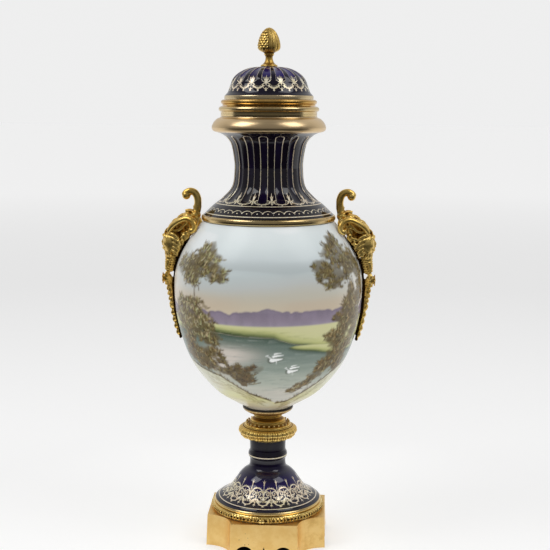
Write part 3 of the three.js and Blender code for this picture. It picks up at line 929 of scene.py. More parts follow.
def makeLid(sizes):
    flat = softened(sizes["edge"], 0.5, 3, closed=False) + evenly(smoothCurve(sizes["dome"], 8), 0.55)
    profile = flat[::-1] + evenly(sizes["bore"], 5)
    mesh = meshFrom(lathe(profile, sizes["steps"], closed=False), "lidMesh")
    places = spots(mesh)
    radius, height, angle = around(places)
    line = np.array(flat)
    along = lengths(line)
    rise = np.where(
        radius < 30, np.interp(-radius, -line[:, 0], along), np.interp(height, line[:, 1], along)
    )
    nearest = np.minimum(
        np.abs(radius - np.interp(height, line[:, 1], line[:, 0])),
        np.abs(height - np.interp(-radius, -line[:, 0], line[:, 1])),
    )
    outer = nearest < 0.3
    turn = np.abs(folded(angle, sizes["flutes"], sizes["phase"]))
    half = sizes["half"] * np.maximum(radius, 4)
    endwise = np.maximum(23.0 - rise, 0)
    channel = np.hypot(turn * radius, endwise * half / 5.0) - half
    inside = np.clip(-channel / half, 0, 1)
    depth = sizes["depth"] * np.sqrt(1 - (1 - inside) ** 2) * np.clip((radius - 10) / 6, 0, 1)
    places[:, 2] -= np.where(outer, depth * 0.8, 0)
    moveTo(mesh, pushed(places, np.where(outer, -depth * 0.6, 0)))
    gap = np.full(len(rise), 9.0)
    band = outer & (rise > 8) & (rise < 29)
    gap[band] = lidLace(turn[band] * 39.6, rise[band])
    lines = np.abs(channel - 0.1) - 0.2
    gap = np.minimum(gap, np.where((rise > 22.0) & (radius > 11), lines, 9.0))
    mark(mesh, "gilt", np.where(outer, gap, 9.0))
    mark(mesh, "edge", np.where((rise < 4.2) & (height < 475.3) & (radius > 40.6), 1.0, 0.0))
    mark(mesh, "pool", np.where(outer & (channel < 0), 0.62 * np.clip((rise - 20) / 8, 0, 1), 0.05))
    return mesh


lidGlaze = cobaltGlaze("lidGlaze", 0.1, (0.8, 0.64, 0.38), 0.22)
setDown(makeLid(lid), "domedLid", ["lid"], lidGlaze, sharp=45)
print("lid ready")

# finial: a closed bud on a turned stem

finial = {
    "steps": 224, "low": 504.9, "budLow": 520.0, "budTop": 544.6,
    "stem": [
        (0, 504.9), (8.2, 504.9), (8.7, 505.5), (8.4, 506.3), (6.4, 507.4), (4.9, 509.2),
        (4, 511.6), (3.7, 514.2), (4.1, 515.6), (5, 516.6), (5.3, 517.5), (4.9, 518.3),
        (6.4, 519.3),
    ],
    "bud": [
        (9, 520.4), (11, 522.8), (11.4, 525.6), (10.9, 529.4), (9.4, 534.6), (6.6, 539.8),
        (3.2, 543.2), (0, 544.4),
    ],
}


def makeFinial(sizes):
    profile = evenly(smoothCurve(sizes["stem"], 4), 0.6) + evenly(smoothCurve(sizes["bud"], 8), 0.33)
    profile = [(max(r, 0.0), z) for r, z in profile]
    mesh = meshFrom(lathe(profile, sizes["steps"], closed=False), "finialMesh")
    places = spots(mesh)
    radius, height, angle = around(places)
    rise = np.clip((height - sizes["budLow"]) / (sizes["budTop"] - sizes["budLow"]), 0, 1)
    # long leaves all round, overlaid on one side by rows of small scales
    leaf = folded(angle, 6, 22) / (full / 6)
    blade = (
        np.sqrt(np.clip(1 - (np.abs(leaf) * 2) ** 2.2, 0, 1)) - 0.4 * np.exp(-(leaf / 0.05) ** 2)
        - 0.2 * np.abs(np.sin(leaf * 34 + rise * 9)) * (np.abs(leaf) > 0.08)
    )
    rows = rise * 9
    shift = np.floor(rows) % 2 * 0.5
    scale = (angle / full * 15 + shift) % 1.0 - 0.5
    tipped = 1 - ((rows % 1.0) ** 1.5) - (np.abs(scale) * 2) ** 2 * 0.7
    scaly = np.clip(tipped + 0.35, 0, 1)
    degrees = np.degrees(angle)
    onScales = (degrees > -125) & (degrees < -2)
    lift = np.where(onScales, scaly - 0.35, 0.9 * blade - 0.5)
    lift *= np.clip(rise * 12, 0, 1) * np.clip((1 - rise) * 5, 0, 1)
    moveTo(mesh, pushed(places, np.where(height > sizes["budLow"], lift, 0)))
    markHollows(mesh, 10, 0.3)
    return mesh


setDown(makeFinial(finial), "budFinial", ["finial"], budCasting, sharp=50)
print("finial ready")

# handles: scroll, acanthus, mask and a pendant of husks, modelled on the +X side and turned for the other

def ringsAlong(bm, path, sizes, sides=14, flat=1.0):
    path = [Vector(p) for p in path]
    lastSide = Vector((0, 1, 0))
    rings = []
    for i, (here, size) in enumerate(zip(path, sizes)):
        ahead = (path[min(i + 1, len(path) - 1)] - path[max(i - 1, 0)]).normalized()
        side = (lastSide - ahead * lastSide.dot(ahead)).normalized()
        lastSide = side
        up = ahead.cross(side)
        wide, deep = size if isinstance(size, tuple) else (size, size * flat)
        rings.append(
            [
                bm.verts.new(here + side * math.cos(t) * wide + up * math.sin(t) * deep)
                for t in np.linspace(0, full, sides, endpoint=False)
            ],
        )
    for a, b in zip(rings, rings[1:]):
        for k in range(sides):
            bm.faces.new((a[k], a[(k + 1) % sides], b[(k + 1) % sides], b[k]))
    bm.faces.new(rings[0][::-1])
    bm.faces.new(rings[-1])


def tube(bm, keys, start, end, middle, count=6, flat=1.0):
    path = smoothCurve(keys, count)
    sizes = np.interp(np.linspace(0, 1, len(path)), (0, 0.5, 1), (start, middle, end))
    ringsAlong(bm, path, [float(s) for s in sizes], flat=flat)


ball = ballShape(20, 14)


def blob(bm, place, radii, turn=0.0):
    tilt = Matrix.Rotation(math.radians(turn), 4, "Y")
    joined(bm, ball, Matrix.Translation(place) @ tilt @ Matrix.Diagonal((*radii, 1.0)))


# a leaf that follows a path, lobed at its edges and creased along its vein
def leaf(bm, keys, wide, thick=1.3, lobes=3, crease=0.9, across=(0, 1, 0)):
    path = [Vector(p) for p in smoothCurve(keys, 8)]
    count, cells = len(path), 12
    grid = []
    lastSide = Vector(across)
    for i, here in enumerate(path):
        t = i / (count - 1)
        ahead = (path[min(i + 1, count - 1)] - path[max(i - 1, 0)]).normalized()
        side = (lastSide - ahead * lastSide.dot(ahead)).normalized()
        lastSide = side
        up = ahead.cross(side)
        reach = (
            wide * math.sin(math.pi * min(0.96, 0.12 + 0.86 * t)) ** 0.7
            * (1 - 0.24 * abs(math.sin(t * math.pi * lobes)))
        )
        row = []
        for u in np.linspace(-1, 1, cells + 1):
            ridge = crease * math.exp(-(u / 0.14) ** 2) - 0.35 * crease * abs(math.sin(u * 7.0))
            row.append((here + side * u * reach, up, ridge, thick * (1 - 0.5 * abs(u)) * (1 - 0.45 * t)))
        grid.append(row)
    top = [[bm.verts.new(p + up * (ridge + h)) for p, up, ridge, h in row] for row in grid]
    low = [[bm.verts.new(p + up * (ridge - h)) for p, up, ridge, h in row] for row in grid]
    for a, b, c, d in zip(top, top[1:], low, low[1:]):
        for k in range(cells):
            bm.faces.new((a[k], a[k + 1], b[k + 1], b[k]))
            bm.faces.new((d[k], d[k + 1], c[k + 1], c[k]))
        bm.faces.new((a[0], b[0], d[0], c[0]))
        bm.faces.new((a[-1], c[-1], d[-1], b[-1]))
    for row, under in ((top[0], low[0]), (low[-1], top[-1])):
        for k in range(cells):
            bm.faces.new((row[k + 1], row[k], under[k], under[k + 1]))


def spiral(bm, centre, outer, inner, start, turns, thick, thin, drift):
    count = max(10, int(abs(turns) * 22))
    path = []
    for t in np.linspace(0, 1, count):
        turn, reach = math.radians(start) + turns * full * t, outer + (inner - outer) * t
        path.append(
            tuple(
                np.array(centre) + np.array((reach * math.cos(turn), drift * t, reach * math.sin(turn))),
            ),
        )
    ringsAlong(bm, path, [float(s) for s in np.linspace(thick, thin, count)], 10)


# the same places on one side or the other
def sided(side, places):
    return [(x, side * y, z) for x, y, z in places]


# the body's outline beside the handles: heights, then radii
wallLine = ((223, 249, 276, 294.5, 312, 328), (91.6, 97.5, 99.3, 97.6, 91.3, 82))


# the middle line of the hanging part: heights, then distances from the axis
spineLine = (
    (217, 229, 241, 253, 265, 280, 290, 300, 312),
    (93.2, 97.6, 100.2, 102.3, 103.5, 105.8, 105.6, 104.4, 103.6),
)


def spine(z):
    return float(np.interp(z, *spineLine)), 0.0, float(z)


def handleParts(bm):
    grit = random.Random(5)
    # scroll with its ball, and the knot where it leaves the bracket
    tube(
        bm,
        [
            (79.5, 0, 341), (77.4, 0, 350), (75.2, 0, 358), (74.6, 0, 366), (77.2, 0, 373.2),
            (82.6, 0, 375.6), (87.2, 0, 373.6), (88.6, 0, 370.8),
        ],
        4.4, 3.7, 4.0, 8,
    )
    blob(bm, (86.8, 0, 371.2), (4.5, 5, 4.5))
    tube(bm, [(72.6, 0, 357.6), (76.2, 0, 358.6), (79.6, 0, 358.2)], 2.4, 2.0, 3.8, 4)
    # the bracket's core
    core = [
        ((77, 0, 350.5), (5.4, 8, 5.4), 0), ((84.5, 0, 347), (7.6, 9.4, 7.2), 20),
        ((91.5, 0, 341.5), (7.6, 9.6, 6.6), 35), ((99, 0, 337.4), (8, 9.6, 6.4), 30),
        ((87, 0, 337.5), (6.6, 9.6, 7.6), 30), ((89, 0, 329), (5.4, 9, 7.4), 20),
        ((94.8, 0, 322), (6.8, 9.6, 9.4), 10), ((101.5, 0, 321.6), (10.4, 13.2, 14.4), 0),
        ((104, 0, 309), (6, 7, 8), 0),
    ]
    for place, radii, turn in core:
        blob(bm, place, radii, turn)
    # three leaves that turn outwards along the top
    leaf(bm, [(76, 0, 349), (78.6, 0, 353.6), (83, 0, 355.6), (88.2, 0, 354.8)], 7.0, 1.3, 3)
    leaf(bm, [(84, 0, 347.4), (87.4, 0, 350.6), (91.6, 0, 350.4), (96.2, 0, 347)], 7.0, 1.3, 3)
    leaf(bm, [(92, 0, 343.4), (95.4, 0, 345.8), (99.2, 0, 344.8), (102.8, 0, 341)], 6.6, 1.2, 3)
    for side in (-1, 1):
        # strap over the side, with a curl against the shoulder of the body
        tube(
            bm,
            sided(
                side,
                [
                    (104.5, 8.5, 334), (100, 11.4, 340), (93, 13.4, 345.2), (85, 15.2, 348.2),
                    (78.4, 17.8, 346.4), (75.6, 20.4, 341.6), (76.4, 22, 337), (79.6, 22.4, 335.4),
                    (81, 21.4, 338.2),
                ],
            ),
            3.6, 2.1, 3.9, 7, 0.8,
        )
        # hollow cartouche under the strap, framed by small curls
        tube(
            bm,
            sided(
                side,
                [
                    (101.5, 9.4, 335), (97, 10.4, 334.6), (92, 11.6, 336.6), (87.4, 12.4, 341.4),
                    (84, 13.4, 345.6),
                ],
            ),
            1.7, 1.5, 1.7, 6,
        )
        leaf(
            bm,
            sided(
                side, [(84.6, 8.2, 344), (81, 11.6, 341.4), (79.4, 15, 337), (80.4, 18.4, 332.6)]
            ),
            4.2, 1.1, 3, across=(1, 0, 0.4),
        )
        leaf(
            bm,
            sided(side, [(88.6, 8.4, 337), (85.6, 11, 333.6), (85, 13.6, 329.4), (87, 15, 325)]),
            3.8, 1.1, 3, across=(1, 0, 0.3),
        )
        for x, y, z, r, start in [
            (84.4, 7.6, 335.6, 2.7, 40), (88.4, 7.8, 329.6, 2.5, 220), (84.6, 8.4, 341.6, 2.3, 100),
            (91.8, 8.4, 324.4, 2.6, 0), (94.2, 9, 317.6, 2.4, 150), (97.4, 9.4, 311.8, 2.2, 60),
            (80.6, 7.4, 346, 2.2, 300), (90.4, 8.8, 318.4, 2, 200),
        ]:
            spiral(bm, (x, side * y, z), r, 0.5, start, 1.25, 0.95, 0.6, side * 0.9)
        # hair swept back from the brow, and the locks of the beard
        for k in range(5):
            low = 331.0 - 4.6 * k
            tube(
                bm,
                sided(
                    side,
                    [
                        (104.6 - 0.6 * k, 7.6 + 0.5 * k, low + 1.6),
                        (100.0 - 0.5 * k, 11.8 + 0.2 * k, low), (95.4, 13.0, low - 2.8),
                        (92.4, 11.4, low - 6.2),
                    ],
                ),
                1.9, 0.9, 1.8, 5,
            )
        for k, (x, y, z) in enumerate([(108, 2.4, 313), (106.4, 5.4, 313.4), (104, 8.2, 314.6)]):
            tube(
                bm,
                sided(
                    side,
                    [
                        (x, y, z), (x + 0.2, y + 0.8, z - 3.2), (x - 1.6, y + 0.2, z - 6.4),
                        (x - 1.2, y - 1.0, z - 8.6),
                    ],
                ),
                1.7, 0.7, 1.8, 5,
            )
        # brow, eye, cheek and moustache
        tube(
            bm,
            sided(
                side,
                [(110.4, 1.2, 327.2), (110.6, 4, 329.4), (108.6, 7.4, 328.6), (105.6, 10, 325.6)],
            ),
            1.6, 1.0, 1.9, 5,
        )
        blob(bm, (109.0, side * 4.6, 325.4), (1.9, 2.3, 1.5))
        blob(bm, (107.8, side * 6.6, 320.6), (3, 3.6, 3.4))
        tube(
            bm,
            sided(
                side, [(111.2, 0.4, 316.2), (111, 3.4, 315.6), (109, 6.6, 317), (106.8, 9.4, 319.4)]
            ),
            1.3, 0.7, 1.7, 5,
        )
        # crumbled shellwork along the lower edge
        for _ in range(70):
            t = grit.uniform(0, 1)
            x = float(np.interp(t, (0, 0.4, 0.7, 1), (80.5, 86, 91, 97))) + grit.uniform(-2.2, 2.6)
            z = float(np.interp(t, (0, 0.4, 0.7, 1), (342, 331, 322, 311))) + grit.uniform(-2.0, 4.0)
            size = grit.uniform(1.1, 2.0)
            blob(
                bm, (x, side * (11.2 + grit.uniform(-1.4, 2.4)), z),
                (size, size, size * grit.uniform(0.8, 1.4)),
            )
    # nose, lips, chin and the leaf that crowns the brow
    tube(bm, [(109.6, 0, 329), (110.8, 0, 324.6), (112.2, 0, 320.6)], 1.5, 2.3, 1.7, 5)
    blob(bm, (111.6, 0, 319.2), (1.9, 3.1, 1.6))
    blob(bm, (109.8, 0, 313.2), (1.7, 2.8, 1.1))
    blob(bm, (107.6, 0, 309.8), (2.6, 3.6, 3))
    leaf(bm, [(108.6, 0, 328.8), (109.2, 0, 332.6), (107, 0, 336.2), (102, 0, 338.4)], 5.6, 1.2, 3)
    # wrapped neck below the mask
    tube(bm, [(101, 0, 314), (103.6, 0, 306), (104.4, 0, 298), (105.4, 0, 290)], 6.2, 3.4, 4.6, 6)
    for k in range(8):
        z = 309.5 - 2.5 * k
        reach = 6.2 - 0.2 * k
        x = float(np.interp(z, (290, 300, 312), (105.3, 104.4, 102.6)))
        ring = [
            (x + reach * math.cos(t), reach * math.sin(t), z + 0.9 * math.cos(t))
            for t in np.linspace(0, full, 19)
        ]
        ringsAlong(bm, ring, [0.75] * 19, 8)
    for side in (-1, 1):
        tube(
            bm,
            sided(
                side, [(101.4, 3.6, 311), (104.6, 4.6, 303), (108.4, 2.6, 296.6), (108, 0.4, 291.4)]
            ),
            1.3, 1.0, 1.4, 5,
        )
    # rosette
    blob(bm, (107.6, 0, 283.2), (4.8, 5, 5.6))
    for turn in np.linspace(0, full, 6, endpoint=False):
        y, z = 3.4 * math.sin(turn), 4.2 * math.cos(turn)
        leaf(
            bm,
            [
                (108.4, y * 0.2, 283.2 + z * 0.2), (112.2, y * 0.8, 283.0 + z * 0.8),
                (112.4, y * 1.5, 283.0 + z * 1.5),
            ],
            2.6, 0.8, 1, 0.5, across=(0, math.cos(turn), -math.sin(turn)),
        )
    blob(bm, (111.4, 0, 283), (2.3, 2.2, 2.3))
    for side in (-1, 1):
        leaf(
            bm,
            sided(side, [(104.8, 1.6, 291.6), (107.6, 5, 288.4), (107.4, 5.6, 284)]),
            2.9, 0.9, 1, across=(1, 0, 0.4),
        )
    # tapering stem clad in leaves
    tube(bm, [spine(z) for z in (284, 276, 268, 260, 254)], 3.6, 1.8, 2.9, 4)
    for k in range(5):
        z = 281.0 - 5.6 * k
        size = 3.7 - 0.34 * k
        for turn in np.linspace(0, full, 5, endpoint=False) + 0.6 * k:
            dx, dy = math.cos(turn), math.sin(turn)
            a, b, c = spine(z), spine(z - 3.4), spine(z - 7.4)
            path = [
                (a[0] + dx * (size - 1.2), dy * (size - 1.2), z),
                (b[0] + dx * (size + 0.6), dy * (size + 0.6), z - 3.0),
                (c[0] + dx * (size + 1.2), dy * (size + 1.2), z - 5.6),
            ]
            leaf(bm, path, 2.0, 0.7, 2, 0.4, across=(-dy, dx, 0))
    # husks that hang one from another to the tip
    tube(bm, [spine(z) for z in (256, 246, 236, 226, 219)], 2.0, 1.3, 1.7, 4)
    for k, z in enumerate((253.6, 246.4, 239.2, 232, 225.2)):
        size = 3.1 - 0.16 * k
        x = spine(z)[0]
        blob(bm, (x, 0, z), (size, size, 3.2))
        for turn in np.linspace(0, full, 3, endpoint=False) + 0.5:
            dx, dy = math.cos(turn), math.sin(turn)
            below = spine(z - 4.2)[0]
            leaf(
                bm,
                [
                    (x + dx * 1.1, dy * 1.1, z + 2.2),
                    (x + dx * (size + 0.1), dy * (size + 0.1), z - 0.6),
                    (below + dx * 2.0, dy * 2.0, z - 4.0),
                ],
                1.4, 0.45, 1, 0.3, across=(-dy, dx, 0),
            )
    blob(bm, (spine(219.6)[0], 0, 219.8), (1.8, 1.8, 2.3))
    # a plain rail down the back, beside the body
    tube(
        bm,
        [
            (float(np.interp(z, *wallLine)) + 1.5, 0, z)
            for z in (330, 316, 300, 284, 268, 252, 236, 224)
        ],
        1.5, 1.1, 1.5, 4,
    )


def makeHandle(voxel, corner):
    bm = bmesh.new()
    handleParts(bm)
    bmesh.ops.recalc_face_normals(bm, faces=bm.faces)
    rough = bpy.data.meshes.new("handleParts")
    bm.to_mesh(rough)
    bm.free()
    holder = bpy.data.objects.new("handleParts", rough)
    scene.collection.objects.link(holder)
    fuse = holder.modifiers.new("fuse", "REMESH")
    fuse.mode = "VOXEL"
    fuse.voxel_size = voxel
    fused = bpy.data.meshes.new_from_object(holder.evaluated_get(bpy.context.evaluated_depsgraph_get()))
    bpy.data.objects.remove(holder)
    bpy.data.meshes.remove(rough)
    places, pairs = spots(fused), edgesOf(fused)
    smooth = blurred(places, pairs, 1)
    # everything stays inside the handle's own room and clear of the body
    low, high = np.array(corner[0]), np.array(corner[1])
    smooth = np.clip(smooth, low, high)
    moveTo(fused, smooth)
    markHollows(fused, 10, 0.55)
    # the side towards the body is darkened: it was never polished, and the dark also paints the shade in
    # the gap beside the body
    hollow = np.empty(len(fused.vertices))
    fused.attributes["hollow"].data.foreach_get("value", hollow)
    room = np.hypot(smooth[:, 0], smooth[:, 1]) - np.interp(smooth[:, 2], *wallLine)
    fused.attributes["hollow"].data.foreach_set(
        "value",
        np.maximum(
            hollow,
            1.5 * np.clip((3.6 - room) / 0.8, 0, 1) * np.clip((326 - smooth[:, 2]) / 8, 0, 1),
        ),
    )
    return fused


handleRoom = ((70.9, -24.8, 217.4), (113.7, 24.8, 379.5))
cast = makeHandle(0.6, handleRoom)
other = cast.copy()
other.transform(Matrix.Rotation(math.pi, 4, "Z"))
setDown(cast, "rightHandle", ["handle_right"], giltCasting, sharp=0)
setDown(other, "leftHandle", ["handle_left"], giltCasting, sharp=0)
print("handles ready", len(cast.polygons))

# body: an ovoid painted with a calm river between trees, drawn on a sheet of angle by height

body = {
    "low": 137.2, "top": 345.5, "rowStep": 1.15, "frontSteps": 280, "backSteps": 56,
    "frontHalf": 96.0,
    "base": [
        (0, 137.2), (14, 137.2), (14.8, 137.5), (17.6, 137.9), (20.6, 138.8), (23.4, 140.2),
        (25.9, 141.9), (27, 143.4), (27.2, 144.9), (26.7, 145.7), (25.4, 146),
    ],
    "belly": [
        (24.9, 146.3), (38.4, 154), (54.4, 164.4), (70.8, 181.9), (82.4, 199.6), (91.6, 223),
        (97.5, 249), (99.3, 276), (97.6, 294.5), (91.3, 312), (82, 328), (69, 345.5),
    ],
    "inside": [
        (62.5, 345.5), (76, 329), (85.3, 313), (91.6, 295.5), (93.3, 277), (91.5, 250), (85.6, 224),
        (76.4, 200.6), (64.8, 182.9), (49.2, 165.4), (34.5, 154.6), (0, 154.6),
    ],
}

sheetColumns, sheetRows, sheetLow, sheetHigh = 900, 270, 137.0, 346.0
sheetAngle = np.linspace(-180, 180, sheetColumns, endpoint=False)[None, :] + np.zeros((sheetRows, 1))
sheetHeight = np.linspace(sheetLow, sheetHigh, sheetRows)[:, None] + np.zeros((1, sheetColumns))
bellyLine = np.array(evenly(smoothCurve(body["belly"], 10), 1.0))


# a colour given as it looks, brought to linear light
def hue(r, g, b):
    value = np.array([r, g, b]) / 255.0
    return np.where(value <= 0.04045, value / 12.92, ((value + 0.055) / 1.055) ** 2.4)


def ramp(x, stops):
    keys = [k for k, _ in stops]
    table = np.array([hue(*c) for _, c in stops])
    return np.stack([np.interp(x, keys, table[:, k]) for k in range(3)], axis=-1)


# reads a table between its columns a and rows b, closed round its columns
def between(table, a, b, fu, fv):
    a0, a1 = a % table.shape[1], (a + 1) % table.shape[1]
    low, high = [table[row, a0] * (1 - fu) + table[row, a1] * fu for row in (b, b + 1)]
    return low * (1 - fv) + high * fv


# soft wandering values from 0 to 1, the same at -180 and 180 degrees
def clouds(wide, tall, seed):
    source = np.random.RandomState(seed)
    across = max(3, round(360 / wide))
    up = math.ceil((sheetHigh - sheetLow) / tall) + 3
    lattice = source.rand(up, across)
    u, v = (sheetAngle + 180) / 360 * across, (sheetHeight - sheetLow) / tall
    a, b = np.floor(u).astype(int), np.floor(v).astype(int)
    fu, fv = u - a, v - b
    fu, fv = fu * fu * (3 - 2 * fu), fv * fv * (3 - 2 * fv)
    return between(lattice, a, b, fu, fv)


def step(x, low, high):
    t = np.clip((x - low) / (high - low), 0, 1)
    return t * t * (3 - 2 * t)


class Sheet:
    def __init__(self):
        self.paint = np.zeros((sheetRows, sheetColumns, 3))

    def wash(self, colour, cover):
        self.paint += (np.asarray(colour) - self.paint) * np.clip(cover, 0, 1)[..., None]

    # a brush stroke from a place, along a direction in degrees, with a length and a width in millimetres
    def stroke(self, angle, height, direction, length, width, colour, strength=1.0, bend=0.0, soft=0.5):
        radius = float(np.interp(height, bellyLine[:, 1], bellyLine[:, 0]))
        reach = length + width + soft
        perColumn, perRow = radius * full / sheetColumns, (sheetHigh - sheetLow) / (sheetRows - 1)
        middle = (angle + 180) / 360 * sheetColumns
        c0, c1 = int(middle - reach / perColumn) - 1, int(middle + reach / perColumn) + 2
        r0 = max(0, int((height - sheetLow - reach) / perRow))
        r1 = min(sheetRows, int((height - sheetLow + reach) / perRow) + 2)
        if r1 <= r0:
            return
        columns = np.arange(c0, c1) % sheetColumns
        x = (np.arange(c0, c1) - middle)[None, :] * perColumn
        y = (np.arange(r0, r1) * perRow + sheetLow - height)[:, None]
        turn = math.radians(direction)
        along = x * math.cos(turn) + y * math.sin(turn)
        aside = y * math.cos(turn) - x * math.sin(turn) - bend * (along / max(length, 0.1)) ** 2
        t = np.clip(along / max(length, 0.1), 0, 1)
        half = width / 2 * (1 - 0.75 * t)
        gap = np.hypot(along - t * length, aside) - half
        mask = strength * np.clip(0.5 - gap / soft, 0, 1)
        patch = self.paint[r0:r1][:, columns]
        patch += (np.asarray(colour) - patch) * mask[..., None]
        self.paint[r0:r1, columns] = patch


def landscape(sheet, chance):
    angle, height = sheetAngle, sheetHeight
    pick = chance.uniform
    drift, fine = clouds(26, 22, 3), clouds(7, 6, 5)
    wisps, streaks = clouds(34, 9, 9), clouds(28, 3.2, 11)
    # sky, bluish above and greyer in the middle, turning to warm sand over the hills
    sky = ramp(
        height + 10 * (drift - 0.5),
        [
            (262, (208, 194, 170)), (272, (200, 190, 170)), (280, (194, 190, 176)),
            (290, (190, 194, 192)), (300, (188, 198, 199)), (313, (204, 213, 215)),
            (326, (216, 225, 226)), (345, (228, 235, 236)),
        ],
    )
    sheet.paint[:] = sky
    # painted light: the picture is washed paler on the sides, where the lamps fall, and fades out again
    # towards the back
    sides = step(np.abs(angle), 44, 80)
    sheet.wash(
        ramp(height, [(240, (226, 220, 208)), (290, (232, 226, 214)), (330, (230, 234, 234))]),
        0.8 * sides * step(np.abs(angle), 150, 105),
    )
    sheet.wash(hue(236, 240, 241), 0.75 * step(wisps, 0.58, 0.85) * step(height, 296, 322))
    sheet.wash(
        hue(164, 172, 174),
        0.4 * step(wisps, 0.45, 0.2) * step(height, 282, 296) * step(height, 318, 306),
    )
    sheet.wash(hue(199, 176, 152), 0.35 * step(drift, 0.5, 0.8) * step(height, 284, 272))
    # far hills in mauve
    bumps = (
        262.3 + 2.4 * np.abs(np.sin(np.radians(angle * 11.5 + 40)))
        + 2.6 * np.sin(np.radians(angle * 6.2 + 70)) * np.cos(np.radians(angle * 2.1))
        + 3.0 * np.exp(-((angle - 27) / 8) ** 2)
    )
    crowns = np.zeros_like(bumps)
    for _ in range(46):
        middle, wide, tall = pick(-60, 60), pick(1.6, 4.2), pick(1.2, 3.2)
        crowns = np.maximum(crowns, tall * np.sqrt(np.clip(1 - ((angle - middle) / wide) ** 2, 0, 1)))
    bumps = bumps - 1.4 + crowns + 1.6 * (fine - 0.5)
    hills = step(bumps - height, -0.8, 1.2) * step(height, 245, 248)
    mauve = ramp(
        height,
        [
            (248, (150, 142, 160)), (256, (138, 126, 146)), (263, (128, 117, 138)),
            (268, (140, 130, 148)),
        ],
    )
    mauve = mauve * (0.9 + 0.22 * clouds(2.4, 14, 13))[..., None]
    sheet.wash(mauve, hills * 0.95)
    sheet.wash(hue(112, 102, 124), 0.5 * hills * np.exp(-((bumps - height - 0.9) / 1.0) ** 2))
    sheet.wash(hue(168, 158, 176), 0.45 * hills * step(height, 253, 248.5))
    # meadow with a tongue that runs into the water on the right
    shore = [
        [-180, -120, -80, -46, -40, -5, 7, 10.5, 18.5, 40.5, 60, 110, 180],
        [232, 229, 234, 241, 241.5, 239.4, 238, 235.4, 232, 226, 222, 229, 232],
    ]
    edge = np.interp(angle, *shore) + 0.5 * np.sin(np.radians(angle * 9))
    tones = [
        (0, (66, 78, 50)), (1.2, (98, 110, 68)), (2.8, (152, 158, 102)), (5.0, (190, 192, 130)),
        (8.5, (206, 206, 152)), (16, (210, 208, 160)),
    ]
    meadow = step(height, edge - 0.6, edge + 0.6) * step(250.2 - height, -0.7, 0.7)
    sheet.wash(ramp(height - edge + 3.0 * (streaks - 0.5), tones), meadow)
    for _ in range(60):
        at, up = pick(-44, 40), pick(0, 1)
        sheet.stroke(
            at, 241.5 + 7.5 * up - 12 * max(0, (at - 10) / 30), pick(-3, 3), pick(4, 13),
            pick(0.6, 1.2), hue(150, 156, 100) if up < 0.5 else hue(214, 212, 166),
            pick(0.15, 0.45), pick(-0.4, 0.4), 0.8,
        )
    # water, darker under the meadow and paler towards the near bank
    water = step(edge - height, -0.4, 0.8)
    tone = ramp(
        height + 9 * (streaks - 0.5),
        [
            (158, (212, 210, 200)), (176, (200, 198, 188)), (188, (176, 182, 170)),
            (204, (142, 154, 144)), (220, (116, 132, 124)), (231, (98, 116, 106)),
            (240, (80, 98, 88)),
        ],
    )
    sheet.wash(tone, water)
    pale = (
        np.exp(-((angle + 20) / 17) ** 2 - ((height - 219) / 9) ** 2)
        + 0.9 * np.exp(-((angle + 28) / 10) ** 2 - ((height - 205) / 14) ** 2)
    )
    sheet.wash(hue(216, 206, 196), 0.9 * water * np.clip(pale, 0, 1))
    for _ in range(190):
        at, high = pick(-30, 52), pick(166, 240)
        light = pick(0, 1)
        sheet.stroke(
            at, high, pick(-4, 4), pick(5, 16), pick(0.7, 1.6),
            hue(178, 186, 180) if light > 0.55 else hue(104, 120, 116), pick(0.12, 0.34),
            pick(-0.6, 0.6), 1.0,
        )
    sheet.wash(hue(62, 80, 64), 0.7 * water * np.exp(-((edge - height) / 2.6) ** 2))
    low = (
        np.interp(angle, [16, 20, 26.5, 40.5, 60], [228.2, 226.2, 224, 220, 216])
        + 0.4 * np.sin(np.radians(angle * 13))
    )
    high = np.interp(angle, [16, 20, 26, 33, 60], [228.2, 229.4, 229.8, 229.6, 226])
    tongue = step(angle, 15, 17) * step(angle, 84, 66)
    sheet.wash(
        hue(62, 80, 64),
        0.7 * tongue * step(low - height, -0.4, 0.4) * np.exp(-((low - height) / 2.6) ** 2),
    )
    sheet.wash(
        ramp(1.6 * (height - low) + 2.0 * (streaks - 0.5), tones),
        tongue * step(height, low - 0.5, low + 0.5) * step(high - height, -0.5, 0.5),
    )
    # near banks, a pale green with darker grasses along their upper edge
    line = np.interp(
        angle,
        [-100, -70, -53.5, -34.5, -23.5, -13.5, 0.5, 6.5, 12, 23.5, 40, 59.5, 80, 100],
        [206, 202, 198, 193, 183, 174, 168, 164.5, 161, 163, 176, 194, 204, 208],
    )
    line = (
        np.where(np.abs(angle) > 100, line - 26 * step(np.abs(angle), 100, 165), line)
        + 1.5 * (fine - 0.5)
    )
    bank = step(line - height, -0.5, 0.8)
    sheet.wash(
        ramp(
            height + 8 * (drift - 0.5),
            [
                (150, (198, 188, 168)), (158, (214, 208, 170)), (166, (214, 212, 158)),
                (180, (216, 216, 184)), (200, (214, 214, 198)),
            ],
        ),
        bank,
    )
    sheet.wash(hue(226, 226, 214), 0.5 * bank * step(drift, 0.5, 0.75))
    sheet.wash(hue(190, 178, 138), 0.4 * bank * step(streaks, 0.6, 0.8))


leafCloud = 0.6 * clouds(4.5, 5, 21) + 0.4 * clouds(2.2, 2.6, 22)
leafTones = [
    (50, 38, 18), (66, 52, 28), (84, 70, 42), (104, 88, 54), (122, 106, 64), (146, 132, 86),
    (178, 168, 128), (208, 201, 166),
]
leafTones = [hue(*tone) for tone in leafTones]


